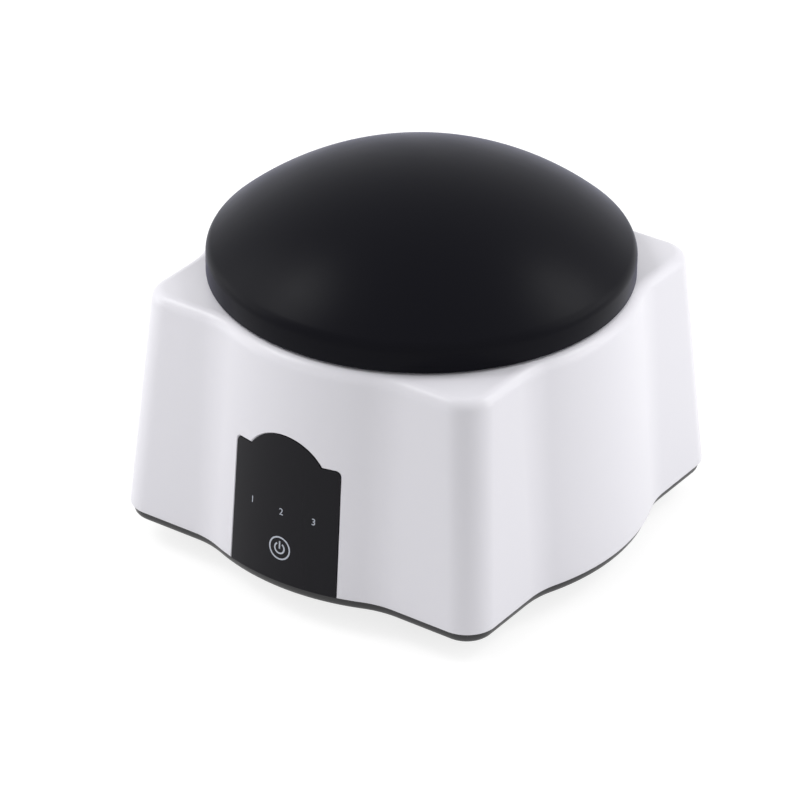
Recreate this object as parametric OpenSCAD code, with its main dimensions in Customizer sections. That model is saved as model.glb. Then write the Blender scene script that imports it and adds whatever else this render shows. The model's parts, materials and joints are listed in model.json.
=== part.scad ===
// Steam machine that softens gel nail polish. A white case with four bulging
// sides stands on a black base. Under the domed lid lie a finger plate with
// five soft cuffs, a steam bowl and a loose solvent tray on a heated plate.
// Frame: +Z up, origin on the table under the middle, control panel at -Y.

/* [Case outline] */
// Width of the case over its bulging sides, at the lower edge
case_w = 147; // [144:1:152]
// How far each bulge stands out from the straight faces beside the corners
bulge_out = 7; // [5:0.5:8.5]
// Radius of the four upright corners at the lower edge
corner_r = 10; // [9:0.5:13]
// Radius of the hollow where a bulge meets a straight face
hollow_r = 28; // [22:1:34]
// How far each wall leans in between the lower edge and the top
lean = 6; // [4:0.5:7]
// Rounding of the edge between the walls and the top
top_edge_r = 4; // [2.5:0.5:5]
// Thickness of the case walls
case_wall = 2.8; // [2.4:0.1:3.2]
// Thickness of the top of the case
case_top = 2.8; // [2.2:0.1:3.4]

/* [Heights] */
// Height of the whole machine with its lid on
overall_h = 120; // [118:1:126]
// Height of the base above the table
foot_h = 7.7; // [6.5:0.1:9]
// Height of the black edge of the base below the case
base_edge_h = 3.85; // [3.5:0.05:5]
// Height of the white case
case_h = 73.95; // [72:0.05:78]
// Height of the collar that the lid sits on
collar_h = 6.5; // [5:0.5:7.5]

/* [Lid] */
// Distance from the outside of a bulge in to the edge of the lid
lid_inset = 8.5; // [7.5:0.25:9.5]
// Height of the upright band round the lid
lid_band_h = 8.4; // [7:0.2:10]
// Gap between the lid's edge and the case
lid_gap = 0.6; // [0.3:0.1:1]
// Wall thickness of the lid
lid_wall = 2.2; // [1.8:0.1:2.6]
// Rounding between the lid's band and its dome
lid_shoulder_r = 5; // [3:0.5:6]
// Clearance between the lid's band and the collar
lid_clear = 0.9; // [0.5:0.1:1.5]
// Thickness of the lid's silicone seal
seal_t = 1.2; // [0.8:0.1:1.6]

/* [Finger plate] */
// Wall thickness of the collar
collar_wall = 4.8; // [4.4:0.1:5.2]
// Clearance of the bowl and the finger plate in the collar
bore_clear = 0.4; // [0.3:0.1:0.6]
// Thickness of the finger plate
plate_t = 2.2; // [1.8:0.1:2.6]
// Rise of the finger plate from its rim to its middle
plate_rise = 8; // [6:0.5:9]
// Distance from the rim of the plate in to the middle of each finger hole
finger_inset = 20.7; // [19.7:0.25:22.7]
// Angle between neighbouring finger holes
finger_step = 54; // [52:1:58]
// Width of the plate left round each finger hole
finger_land = 3.85; // [3.4:0.05:4.6]
// How far each soft cuff reaches in from the edge of its hole
cuff_reach = 3.5; // [3:0.25:4.5]
// Radius of the grip in the middle of the plate
grip_r = 7; // [5:0.5:8]
// Height of the grip above the plate
grip_h = 5; // [3:0.5:6]

/* [Steam bowl] */
// Wall thickness of the bowl
bowl_wall = 1.8; // [1.5:0.1:2.2]
// Depth of the bowl from its rim to its floor
bowl_depth = 56; // [52:1:57]
// How far the bowl narrows from its rim to its floor
bowl_taper = 6; // [4:0.5:8]
// How far the rim of the bowl lies below the collar
bowl_step = 2; // [1.5:0.25:3]
// How far the skirt of the finger plate reaches into the bowl
skirt_h = 8; // [6:0.5:10]

/* [Heater and tray] */
// Width of the bowl's floor round the heated face
heater_inset = 19.7; // [18.7:0.25:20.7]
// Thickness of the heater's flange
heater_flange_t = 3; // [2.5:0.25:4]
// Thickness of the gasket between heater and bowl
gasket_t = 1.5; // [1:0.1:2]
// Length of the heating element
element_l = 35; // [30:1:40]
// Width of the heating element
element_w = 21; // [18:1:24]
// Height of the heating element
element_h = 6; // [5:0.25:7]
// Height of the solvent tray
tray_h = 10; // [8:0.5:14]
// Wall thickness of the solvent tray
tray_wall = 0.8; // [0.6:0.1:1.2]

/* [Control panel] */
// Width of the black control panel at its foot
panel_w = 38.7; // [36:0.1:42]
// How much each side of the panel draws in from its foot to its shoulders
panel_taper = 0.6; // [0:0.1:1]
// Height of the panel's shoulders above the case's lower edge
panel_shoulder_h = 41.65; // [40:0.05:44]
// Rise of the panel's arched top above its shoulders
panel_arch_h = 6.8; // [5:0.2:9]
// Width of the panel's arched top
panel_arch_w = 25.4; // [22:0.2:28]
// Thickness of the panel
panel_t = 0.95; // [0.8:0.05:1.1]
// Height of the power key above the case's lower edge
key_h = 11.35; // [10:0.05:12]
// Radius of the power key
key_r = 3.9; // [3.6:0.1:4.5]
// How far the power key travels
key_travel = 0.3; // [0.2:0.05:0.5]
// Height of the three indicator lights above the case's lower edge
light_h = 26.85; // [25:0.05:28]
// Distance between neighbouring indicator lights
light_step = 11.2; // [10:0.2:12]

/* [Control board] */
// Width of the control board
board_w = 36; // [35:0.5:38]
// Height of the control board
board_h = 35; // [34:0.5:37]
// Thickness of the control board
board_t = 1.6; // [1.2:0.2:2]

/* [Power inlet] */
// Height of the power inlet above the case's lower edge
inlet_h = 12.45; // [11:0.05:14]
// Radius of the inlet's socket
socket_r = 2.8; // [2.75:0.05:3.2]
// Depth of the inlet's socket
socket_depth = 9.5; // [9:0.25:11]
// Radius of the inlet's contact pin
contact_r = 1.05; // [0.95:0.05:1.25]

/* [Base and fasteners] */
// Thickness of the base's floor
base_t = 2.5; // [2:0.1:3]
// Distance from the straight faces in to the middle of each foot
foot_inset = 21.5; // [19.5:0.5:23.5]
// Radius of the feet under the base
foot_r = 7; // [6.5:0.1:7.5]
// Thickness of the rubber pads under the feet
pad_t = 3.7; // [3:0.1:4.2]
// Width of each ventilation slot
vent_w = 2.2; // [1.5:0.1:2.8]
// Number of ventilation slots
vent_count = 7; // [5:2:9]
// Radius of the case screws' threads
screw_r = 1.5; // [1.25:0.05:1.6]
// Length of the case screws under their heads
screw_l = 14; // [12:1:18]

/* [Hidden] */
$fn = 64;

// Small fits shared by many pieces
snug = 0.1;          // sideways room of a piece in its seat
thread_room = 0.05;  // room round a screw's thread
tip_room = 1;        // room before a screw's tip
joint_line = 0.4;    // shadow line between case and base
lap = 0.5;           // overlap of pieces moulded in one
over = 1;            // how far a cutter runs past what it cuts
deep = 20;           // length of a cutter that ends in the open

// Levels above the table
case_z0 = foot_h + base_edge_h;
case_z1 = case_z0 + case_h;
collar_z1 = case_z1 + collar_h;
base_floor_z = foot_h + base_t;
bowl_z1 = collar_z1 - bowl_step;
bowl_floor_z = bowl_z1 - bowl_depth;
bowl_floor_extra = 0.2;
heater_proud = 0.5;
bowl_floor_t = bowl_wall + bowl_floor_extra;
heater_top_z = bowl_floor_z + heater_proud;
flange_z1 = bowl_floor_z - bowl_floor_t - gasket_t;
flange_z0 = flange_z1 - heater_flange_t;
element_z0 = flange_z0 - element_h;
lid_z0 = case_z1 + lid_gap;
lid_band_z1 = lid_z0 + lid_band_h;
key_z = case_z0 + key_h;
light_z = case_z0 + light_h;
inlet_z = case_z0 + inlet_h;

// Radii about the middle
bulge_r = case_w / 2;
flat_half = bulge_r - bulge_out;
lid_r = bulge_r - lid_inset;
collar_r = lid_r - lid_wall - lid_clear;
bore_r = collar_r - collar_wall;
bowl_r = bore_r - bore_clear;
bowl_inner_r = bowl_r - bowl_wall;
rim_r = bore_r - bore_clear;
skirt_r = bowl_r_at(bowl_z1 - skirt_h) - bowl_wall - bore_clear;
skirt_t = 1.6;
heater_r = bowl_r_at(bowl_floor_z) - heater_inset;
foot_xy = flat_half - foot_inset;
finger_circle_r = rim_r - finger_inset;
finger_hole_r = finger_circle_r * sin(finger_step / 2) - finger_land;
cuff_open_r = finger_hole_r - cuff_reach;

// ---- Outline of the case ---------------------------------------------------
bulge_steps = 8;
hollow_steps = 5;
corner_steps = 5;
least_corner_r = 0.5;

function lean_at(z) = lean * (z - case_z0) / case_h;
function wall_r(z) = bulge_r - lean_at(z);

// One eighth of the outline, from the middle of the +Y bulge to the corner,
// moved inwards by inset, and by back where the wall leans in. The corner's
// radius is the same at every height
function outline_eighth(inset, back) =
    let (
        half = flat_half - back - inset,
        bulge = bulge_r - back - inset,
        hollow = hollow_r + back + inset,
        corner = max(corner_r - inset, least_corner_r),
        centre_y = half + hollow,
        centre_x = sqrt((bulge + hollow) ^ 2 - centre_y ^ 2),
        sweep = atan2(centre_x, centre_y)
    ) concat(
        [for (i = [0:bulge_steps]) let (t = sweep * i / bulge_steps)
            bulge * [sin(t), cos(t)]],
        [for (i = [1:hollow_steps]) let (t = sweep * (1 - i / hollow_steps))
            [centre_x, centre_y] - hollow * [sin(t), cos(t)]],
        [for (i = [0:corner_steps]) let (t = 45 * i / corner_steps)
            [half - corner, half - corner] + corner * [sin(t), cos(t)]]
    );

// The eighth and its mirror image make a quarter, and four of them the outline
function outline(inset, back = 0) =
    let (
        first = outline_eighth(inset, back),
        last = len(first) - 1,
        quarter = concat(first, [for (i = [last - 1:-1:1]) [first[i].y, first[i].x]])
    ) [for (turn = [0:3], p = quarter)
        [p.x * cos(90 * turn) + p.y * sin(90 * turn),
         p.y * cos(90 * turn) - p.x * sin(90 * turn)]];

// A ring of points on a circle, each at the bearing of an outline point
function round_ring(r) = [for (p = outline(0)) r * p / norm(p)];

function lift(ring, z) = [for (p = ring) [p.x, p.y, z]];

// Faces between neighbouring rings, each listed clockwise seen from above
function side_faces(count, n, closed) =
    [for (k = [0:count - (closed ? 1 : 2)], i = [0:n - 1])
        let (j = (i + 1) % n, up = (k + 1) % count)
        [k * n + i, k * n + j, up * n + j, up * n + i]];

// Solid from stacked rings: hollow like a tyre, or closed by its end rings
module ring_solid(rings, tyre = false) {
    n = len(rings[0]);
    count = len(rings);
    ends = tyre ? [] : [
        [for (i = [n - 1:-1:0]) i],
        [for (i = [0:n - 1]) (count - 1) * n + i],
    ];
    polyhedron(
        points = [for (ring = rings) each ring],
        faces = concat(side_faces(count, n, tyre), ends),
        convexity = 8
    );
}

// Cone with the slope of the bulges, drawn inwards by inset
module wall_cone(inset, z0, z1) {
    translate([0, 0, z0])
        cylinder(h = z1 - z0, r1 = wall_r(z0) - inset, r2 = wall_r(z1) - inset, $fn = 180);
}

module at_corners(xy) {
    for (sx = [-1, 1], sy = [-1, 1])
        translate([sx * xy, sy * xy, 0]) children();
}

module tube(r, inner_r, h) {
    difference() {
        cylinder(r = r, h = h);
        translate([0, 0, -over]) cylinder(r = inner_r, h = h + 2 * over);
    }
}

// Points of an arc about a centre, in steps
function arc(centre, r, from, to, steps) =
    [for (i = [0:steps]) let (t = from + (to - from) * i / steps)
        centre + r * [cos(t), sin(t)]];

// ---- Case ------------------------------------------------------------------
fillet_steps = 6;
lower_edge = 0.4;
post_r = 4;
post_foot_gap = 4;
post_foot_z = base_floor_z + post_foot_gap;
bowl_boss_r = 3.5;
bowl_boss_h = 8;
bowl_boss_out = 7;
bowl_boss_circle = bore_r + bowl_boss_out;
bowl_boss_turn = 11;
bowl_screw_r = 1.25;
bowl_screw_l = 9;
panel_glue = 0.05;
recess = panel_t + panel_glue;
panel_corner_r = 1.8;
panel_foot_room = 0.1;
board_depth = 12;

module case_skin() {
    wall_top = case_z1 - top_edge_r;
    edge_back = lean_at(wall_top);
    hole = round_ring(bore_r + lap);
    under = case_z1 - case_top;
    ring_solid(concat(
        [lift(outline(lower_edge), case_z0)],
        [lift(outline(0, lean_at(case_z0 + lower_edge)), case_z0 + lower_edge)],
        [for (i = [0:fillet_steps]) let (t = 90 * i / fillet_steps)
            lift(outline(top_edge_r * (1 - cos(t)), edge_back),
                wall_top + top_edge_r * sin(t))],
        [lift(hole, case_z1)],
        [lift(hole, under)],
        [lift(outline(case_wall, lean_at(under)), under)],
        [lift(outline(case_wall), case_z0)]
    ), tyre = true);
}

// Places for the bowl's four screws, one beside each corner post
module at_bowl_screws() {
    for (turn = [0:3])
        rotate([0, 0, 45 + bowl_boss_turn + 90 * turn])
            translate([bowl_boss_circle, 0, 0]) children();
}

// Outline of the control panel seen from the front, grown by room
module panel_outline(room = 0) {
    half = panel_w / 2 - panel_taper + room;
    shoulder = case_z0 + panel_shoulder_h + room;
    arch_half = panel_arch_w / 2 + room;
    arch_r = (arch_half ^ 2 + panel_arch_h ^ 2) / (2 * panel_arch_h);
    arch_z = shoulder + panel_arch_h - arch_r;
    arch_sweep = asin(arch_half / arch_r);
    corner = panel_corner_r;
    foot = case_z0 + (room > 0 ? -over : panel_foot_room);
    foot_half = half + panel_taper * (shoulder - foot) / panel_shoulder_h;
    polygon(concat(
        [[-foot_half, foot], [foot_half, foot]],
        arc([half - corner, shoulder - corner], corner, 0, 90, 5),
        arc([0, arch_z], arch_r, 90 - arch_sweep, 90 + arch_sweep, 20),
        arc([-half + corner, shoulder - corner], corner, 90, 180, 5)
    ));
}

module panel_prism(room = 0) {
    translate([0, -bulge_r + board_depth, 0]) rotate([90, 0, 0])
        linear_extrude(height = deep) panel_outline(room);
}

board_front_y = -(bulge_r - board_depth);
board_lift = 4;
board_z0 = case_z0 + board_lift;
board_screw_in = 3.2;
board_screw_x = board_w / 2 - board_screw_in;
board_screw_z = [board_z0 + board_screw_in, board_z0 + board_h - board_screw_in];
board_post_r = 2.6;
board_screw_r = 0.9;
board_screw_l = 6;
board_screw_head = [1.8, 1.3];  // radius, height

// Runs its children at the control board's four screws, along +Y
module at_board_screws(y) {
    for (sx = [-1, 1], z = board_screw_z)
        translate([sx * board_screw_x, y, z]) rotate([-90, 0, 0]) children();
}

module board_posts() {
    intersection() {
        at_board_screws(-bulge_r) cylinder(r = board_post_r, h = bulge_r + board_front_y, $fn = 32);
        wall_cone(case_wall - lap, case_z0, case_z1);
    }
}

light_pin_r = 1.2;
light_room = 0.15;

// Runs its children on the axis of each indicator light, along +Y
module at_lights(y) {
    for (k = [-1:1])
        translate([k * light_step, y, light_z]) rotate([-90, 0, 0]) children();
}

key_seat_sink = 0.5;
key_seat_y = -(wall_r(key_z) - case_wall) - key_seat_sink;
key_flange_out = 1.7;
key_flange_r = key_r + key_flange_out;
key_room = 0.1;
key_flange_room = 0.4;

inlet_thread_r = 3.95;
inlet_sink = 1.5;
inlet_wall = 3.5;
inlet_face_y = wall_r(inlet_z) - inlet_sink;
inlet_pad_y = inlet_face_y - inlet_wall;
inlet_pad_r = 9;
inlet_flange_r = 5.5;
inlet_flange_t = 1.2;
inlet_seat_room = 1.5;

module at_inlet(y) {
    translate([0, y, inlet_z]) rotate([-90, 0, 0]) children();
}

module case_shell() {
    color("white") difference() {
        union() {
            case_skin();
            translate([0, 0, case_z1 - case_top]) tube(collar_r, bore_r, case_top + collar_h, $fn = 128);
            at_corners(foot_xy) translate([0, 0, post_foot_z])
                cylinder(r = post_r, h = case_z1 - case_top + lap - post_foot_z, $fn = 32);
            at_bowl_screws() translate([0, 0, case_z1 - case_top - bowl_boss_h])
                cylinder(r = bowl_boss_r, h = bowl_boss_h + lap, $fn = 32);
            board_posts();
            intersection() {
                at_inlet(inlet_pad_y) cylinder(r = inlet_pad_r, h = deep);
                wall_cone(case_wall - lap, case_z0, case_z1);
            }
        }
        // seat of the control panel, open at the lower edge
        difference() {
            panel_prism(snug);
            wall_cone(recess, case_z0 - over, case_z1);
        }
        // key, its flat seat inside, and the indicator lights
        translate([0, -bulge_r, key_z]) rotate([-90, 0, 0]) {
            cylinder(r = key_r + key_room, h = deep);
            translate([0, 0, bulge_r + key_seat_y])
                cylinder(r = key_flange_r + key_flange_room, h = deep);
        }
        at_lights(-bulge_r) cylinder(r = light_pin_r + light_room, h = deep, $fn = 24);
        // power inlet: sunk face outside, threaded barrel through the wall
        at_inlet(inlet_pad_y - over) cylinder(r = inlet_thread_r + snug, h = deep);
        at_inlet(inlet_face_y) cylinder(r = inlet_flange_r + inlet_seat_room, h = deep);
        // screw bores
        at_corners(foot_xy) translate([0, 0, screw_shelf_z])
            cylinder(r = screw_r + thread_room, h = screw_l + tip_room, $fn = 32);
        at_bowl_screws() translate([0, 0, lug_z1 - lug_t])
            cylinder(r = bowl_screw_r + thread_room, h = bowl_screw_l + tip_room, $fn = 32);
        at_board_screws(board_back_y - board_screw_l - tip_room)
            cylinder(r = board_screw_r + thread_room, h = board_screw_l, $fn = 24);
    }
}

// ---- Base ------------------------------------------------------------------
base_inset = 1;
base_foot_inset = 3.1;
tongue_h = 3;
tongue_t = 2;
tongue_room = 0.3;
joint_sink = 0.6;
// Rounded lower edge of the base: distance in from its side, height above its underside
base_round = [[0.9, 0.6], [0.2, 1.6], [0, 2.8]];
screw_head_r = 2.9;
screw_head_h = 2.2;
screw_shelf_h = 1.3;
screw_shelf_z = foot_h + screw_shelf_h;
screw_head_room = 0.3;
screw_room = 0.2;
pad_sink = 1.2;
pad_edge = 0.8;
pad_r = foot_r - pad_edge;
foot_step = 1;
vent_pitch = 6;
vent_l = 34;

module base_skin() {
    tongue = case_wall + tongue_room;
    tongue_back = lean_at(case_z0 + tongue_h);
    shoulder = case_z0 - joint_line;
    ring_solid([
        lift(outline(base_foot_inset), foot_h),
        for (step = base_round) lift(outline(base_inset + step.x), foot_h + step.y),
        lift(outline(base_inset), shoulder),
        lift(outline(base_inset + joint_sink), shoulder),
        lift(outline(base_inset + joint_sink), case_z0),
        lift(outline(tongue), case_z0),
        lift(outline(tongue, tongue_back), case_z0 + tongue_h),
        lift(outline(tongue + tongue_t, tongue_back), case_z0 + tongue_h),
        lift(outline(tongue + tongue_t), base_floor_z),
    ]);
}

module base_plate() {
    color("#26262a") difference() {
        union() {
            base_skin();
            at_corners(foot_xy) {
                translate([0, 0, pad_t - pad_sink])
                    cylinder(r = foot_r, h = foot_h + lap - pad_t + pad_sink);
                translate([0, 0, foot_h]) cylinder(r = foot_r - foot_step, h = post_foot_z - foot_h);
            }
        }
        at_corners(foot_xy) {
            translate([0, 0, -over]) cylinder(r = pad_r + snug, h = pad_t + over);
            translate([0, 0, -over])
                cylinder(r = screw_head_r + screw_head_room, h = screw_shelf_z + over);
            cylinder(r = screw_r + screw_room, h = post_foot_z + over, $fn = 32);
        }
        for (k = [-(vent_count - 1) / 2:(vent_count - 1) / 2])
            translate([k * vent_pitch - vent_w / 2, -vent_l / 2, foot_h - over])
                cube([vent_w, vent_l, base_t + 2 * over]);
    }
}

pad_chamfer = 1;

module rubber_feet() {
    color("#1b1b1d") at_corners(foot_xy) {
        cylinder(r1 = pad_r - pad_chamfer / 2, r2 = pad_r, h = pad_chamfer);
        translate([0, 0, pad_chamfer]) cylinder(r = pad_r, h = pad_t - pad_chamfer);
    }
}

// Pan-head screw pointing up, its head below z = 0, with a crossed drive whose
// sizes are shares of the head's
drive_l = 1.2;
drive_w = 0.28;
drive_h = 0.5;

module pan_screw(thread_r, length, head_r, head_h) {
    difference() {
        union() {
            translate([0, 0, -head_h]) cylinder(r = head_r, h = head_h, $fn = 32);
            cylinder(r = thread_r, h = length, $fn = 32);
        }
        for (turn = [0, 90]) rotate([0, 0, turn])
            translate([-head_r * drive_l / 2, -head_r * drive_w / 2, -head_h - over])
                cube([head_r * drive_l, head_r * drive_w, head_h * drive_h + over]);
    }
}

module case_screws() {
    color("silver") at_corners(foot_xy) translate([0, 0, screw_shelf_z])
        pan_screw(screw_r, screw_l, screw_head_r, screw_head_h);
}

// ---- Control panel, key and board --------------------------------------------
module control_panel() {
    color("#18181c") difference() {
        intersection() {
            panel_prism();
            wall_cone(0, case_z0, case_z1);
        }
        wall_cone(panel_t, case_z0 - over, case_z1 + over);
        translate([0, -bulge_r - over, key_z]) rotate([-90, 0, 0])
            cylinder(r = key_r + key_room, h = deep);
    }
}

switch_w = 6;
switch_h = 3.5;
plunger_r = 1.75;
plunger_l = 1.8;
plunger_proud = 0.8;
plunger_y = board_front_y - switch_h - plunger_proud;
key_flange_t = 1;
key_stem_wall = 0.6;

module power_key() {
    color("#18181c") {
        intersection() {
            translate([0, -bulge_r - over, key_z]) rotate([-90, 0, 0])
                cylinder(r = key_r, h = bulge_r + over + key_seat_y + lap);
            wall_cone(0, case_z0, case_z1);
        }
        translate([0, key_seat_y, key_z]) rotate([-90, 0, 0]) {
            cylinder(r = key_flange_r, h = key_flange_t);
            cylinder(r = plunger_r + key_stem_wall, h = plunger_y - key_seat_y, $fn = 32);
        }
    }
}

module switch_plunger() {
    color("#2a2a2e") translate([0, plunger_y, key_z]) rotate([-90, 0, 0])
        cylinder(r = plunger_r, h = plunger_l, $fn = 32);
}

module tact_switch() {
    color("silver") difference() {
        translate([-switch_w / 2, board_front_y - switch_h, key_z - switch_w / 2])
            cube([switch_w, switch_h, switch_w]);
        translate([0, plunger_y, key_z]) rotate([-90, 0, 0])
            cylinder(r = plunger_r + thread_room, h = plunger_l + key_travel + snug, $fn = 32);
    }
}

led_h = 1;
led_w = 2.8;
led_gap = 0.3;
guide_y = board_front_y - led_h - led_gap;
guide_t = 1.5;
guide_w = 4;
guide_peg_x = light_step / 2;
guide_peg_r = 0.9;

module light_guide() {
    color("#d8e6ea") {
        intersection() {
            at_lights(-bulge_r) cylinder(r = light_pin_r, h = bulge_r + guide_y, $fn = 24);
            wall_cone(recess + snug, case_z0, case_z1);
        }
        translate([-light_step - guide_w / 2, guide_y - guide_t, light_z - guide_w / 2])
            cube([2 * light_step + guide_w, guide_t, guide_w]);
        for (sx = [-1, 1]) translate([sx * guide_peg_x, guide_y - lap, light_z]) rotate([-90, 0, 0])
            cylinder(r = guide_peg_r, h = led_h + led_gap + board_t + lap, $fn = 24);
    }
}

module indicator_leds() {
    color("#f2efe2") for (k = [-1:1])
        translate([k * light_step - led_w / 2, board_front_y - led_h, light_z - led_w / 2])
            cube([led_w, led_h, led_w]);
}

module control_board() {
    color("#1f6b45") difference() {
        translate([-board_w / 2, board_front_y, board_z0]) cube([board_w, board_t, board_h]);
        at_board_screws(board_front_y - over)
            cylinder(r = board_screw_r + screw_room, h = board_t + 2 * over, $fn = 24);
        for (sx = [-1, 1]) translate([sx * guide_peg_x, board_front_y - over, light_z])
            rotate([-90, 0, 0])
                cylinder(r = guide_peg_r + thread_room, h = board_t + 2 * over, $fn = 24);
    }
}

module board_screws() {
    color("silver") at_board_screws(board_front_y + board_t)
        mirror([0, 0, 1])
            pan_screw(board_screw_r, board_screw_l, board_screw_head.x, board_screw_head.y);
}

board_back_y = board_front_y + board_t;

// Parts on the back of the board: sizes, and places of their lower left corners
// or, for the capacitor, its axis, from the level of the indicator lights
chip = [10, 1.8, 5];
chip_at = [-5, -9];
transistor = [6.5, 2.4, 9];
transistor_at = [6.5, -5];
capacitor_r = 4;
capacitor_l = 6.5;
capacitor_x = -8.5;

module controller_chip() {
    color("#202024") translate([chip_at.x, board_back_y, light_z + chip_at.y]) cube(chip);
}

module heater_transistor() {
    color("#242428") translate([transistor_at.x, board_back_y, light_z + transistor_at.y])
        cube(transistor);
}

module supply_capacitor() {
    color("#2d3e66") translate([capacitor_x, board_back_y, light_z]) rotate([-90, 0, 0])
        cylinder(r = capacitor_r, h = capacitor_l, $fn = 48);
}

plug_w = 5.6;
plug_t = 4.4;
plug_h = 6;
plug_step = 10;
plug_lift = 6.5;
plug_x = [-plug_step, 0, plug_step];
plug_z = board_z0 + plug_lift;

module board_connectors() {
    color("ivory") for (x = plug_x)
        translate([x - plug_w / 2, board_back_y, plug_z]) cube([plug_w, plug_t, plug_h]);
}

// ---- Steam bowl ------------------------------------------------------------
heater_gap = 0.5;
heater_screw_out = 9;
heater_hole_r = heater_r + heater_gap;
heater_screw_circle = heater_r + heater_screw_out;
bowl_edge = 1;
lug_edge = 0.5;
lug_reach = 6;
heater_boss_r = 3.4;
heater_boss_h = 4;
heater_screw_r = 1.25;
heater_screw_bite = 2;
lug_t = 3;
lug_z1 = case_z1 - case_top - bowl_boss_h;
mid_screw_head = [2.4, 1.8];  // radius, height

module at_heater_screws() {
    for (turn = [0:3]) rotate([0, 0, 45 + 90 * turn])
        translate([heater_screw_circle, 0, 0]) children();
}

lug_l = bowl_boss_circle - bowl_r_at(lug_z1) + bowl_wall;

function bowl_r_at(z) = bowl_r - bowl_taper * (bowl_z1 - z) / bowl_depth;

module steam_bowl() {
    color("#e9e9ea") difference() {
        union() {
            rotate_extrude($fn = 128) polygon([
                [heater_hole_r, bowl_floor_z - bowl_floor_t],
                [bowl_r_at(bowl_floor_z) - bowl_edge, bowl_floor_z - bowl_floor_t],
                [bowl_r_at(bowl_floor_z), bowl_floor_z - bowl_floor_t + bowl_edge],
                [bowl_r_at(case_z1 - case_top), case_z1 - case_top],
                [bowl_r, bowl_z1],
                [bowl_inner_r, bowl_z1],
                [bowl_r_at(bowl_floor_z) - bowl_wall, bowl_floor_z],
                [heater_hole_r, bowl_floor_z],
            ]);
            at_heater_screws() translate([0, 0, bowl_floor_z - lap])
                cylinder(r = heater_boss_r, h = heater_boss_h + lap, $fn = 32);
            difference() {
                intersection() {
                    at_bowl_screws() {
                        translate([0, 0, lug_z1 - lug_t])
                            cylinder(r = bowl_boss_r + lug_edge, h = lug_t, $fn = 32);
                        translate([-lug_l, -bowl_boss_r - lug_edge, lug_z1 - lug_t])
                            cube([lug_l, 2 * (bowl_boss_r + lug_edge), lug_t]);
                    }
                    translate([0, 0, lug_z1 - lug_t])
                        cylinder(r = bowl_boss_circle + lug_reach, h = lug_t);
                }
                translate([0, 0, lug_z1 - lug_t - over])
                    cylinder(r = bowl_r_at(lug_z1) - bowl_wall / 2, h = lug_t + 2 * over, $fn = 128);
            }
        }
        at_heater_screws() translate([0, 0, bowl_floor_z - bowl_floor_t - over])
            cylinder(r = heater_screw_r + thread_room, h = bowl_floor_t + heater_boss_h, $fn = 32);
        at_bowl_screws() translate([0, 0, lug_z1 - lug_t - over])
            cylinder(r = bowl_screw_r + screw_room, h = lug_t + 2 * over, $fn = 32);
    }
}

module bowl_screws() {
    color("silver") at_bowl_screws() translate([0, 0, lug_z1 - lug_t])
        pan_screw(bowl_screw_r, bowl_screw_l, mid_screw_head.x, mid_screw_head.y);
}

// ---- Heater ----------------------------------------------------------------
flange_r = heater_screw_circle + heater_boss_r;
tray_seat = 1;
tray_gap = 1.5;
tray_r = heater_r - tray_gap;
clamp_w = 6;
clamp_t = 1.2;
clamp_screw_out = 4;
clamp_screw_x = element_l / 2 + clamp_screw_out;
clamp_screw_r = 1.25;
clamp_screw_head = [2.3, 1.6];  // radius, height
clamp_end = 3.5;
clamp_gap = 0.2;
clamp_bite = 3;
fuse_r = 2;
fuse_l = 12;
fuse_out = 6.5;
fuse_x = clamp_screw_x + fuse_out;
fuse_y = 2;
fuse_z = flange_z0 - fuse_r;
fuse_clip_w = 4;
fuse_clip_t = 0.6;
fuse_screw_out = 3.8;
fuse_screw_x = fuse_x + fuse_r + fuse_screw_out;
fuse_ear = 2.2;
sensor_out = 6;
sensor_y = -element_w / 2 - sensor_out;
sensor_l = 9;
sensor_w = 3.2;
sensor_lug_t = 0.8;
sensor_lug_r = 3;
sensor_can_l = 5.2;
small_screw_r = 1;
small_screw_l = 4.5;
small_screw_head = [1.9, 1.2];  // radius, height
tray_seat_wall = 1;
terminal_l = 1.8;
terminal_w = 3;
terminal_t = 0.8;
terminal_y = 5;
terminal_z = element_z0 + element_h / 2;
// Places and heights under the heads of the sensor's and the fuse's screws
small_screws = [
    [0, sensor_y, flange_z0 - sensor_lug_t],
    [fuse_screw_x, fuse_y, flange_z0 - fuse_clip_t],
];

module heater_plate() {
    color("#b9bcc0") difference() {
        union() {
            translate([0, 0, flange_z0]) cylinder(r = flange_r, h = heater_flange_t, $fn = 96);
            translate([0, 0, flange_z0]) cylinder(r = heater_r, h = heater_top_z - flange_z0, $fn = 96);
            translate([0, 0, heater_top_z - lap])
                tube(heater_r, heater_r - tray_seat_wall, tray_seat + lap, $fn = 96);
        }
        at_heater_screws() translate([0, 0, flange_z0 - over])
            cylinder(r = heater_screw_r + screw_room, h = heater_flange_t + 2 * over, $fn = 32);
        for (sx = [-1, 1]) translate([sx * clamp_screw_x, 0, flange_z0 - over])
            cylinder(r = clamp_screw_r + thread_room, h = over + clamp_bite + tip_room, $fn = 32);
        for (p = small_screws) translate([p.x, p.y, flange_z0 - over])
            cylinder(r = small_screw_r + thread_room, h = small_screw_l, $fn = 32);
    }
}

module heater_gasket() {
    color("#b5402f") difference() {
        translate([0, 0, flange_z1]) tube(flange_r, heater_hole_r, gasket_t, $fn = 96);
        at_heater_screws() translate([0, 0, flange_z1 - over])
            cylinder(r = heater_screw_r + screw_room, h = gasket_t + 2 * over, $fn = 32);
    }
}

module heater_screws() {
    color("silver") at_heater_screws() translate([0, 0, flange_z0])
        pan_screw(heater_screw_r, heater_flange_t + gasket_t + bowl_floor_t + heater_screw_bite,
            mid_screw_head.x, mid_screw_head.y);
}

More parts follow.
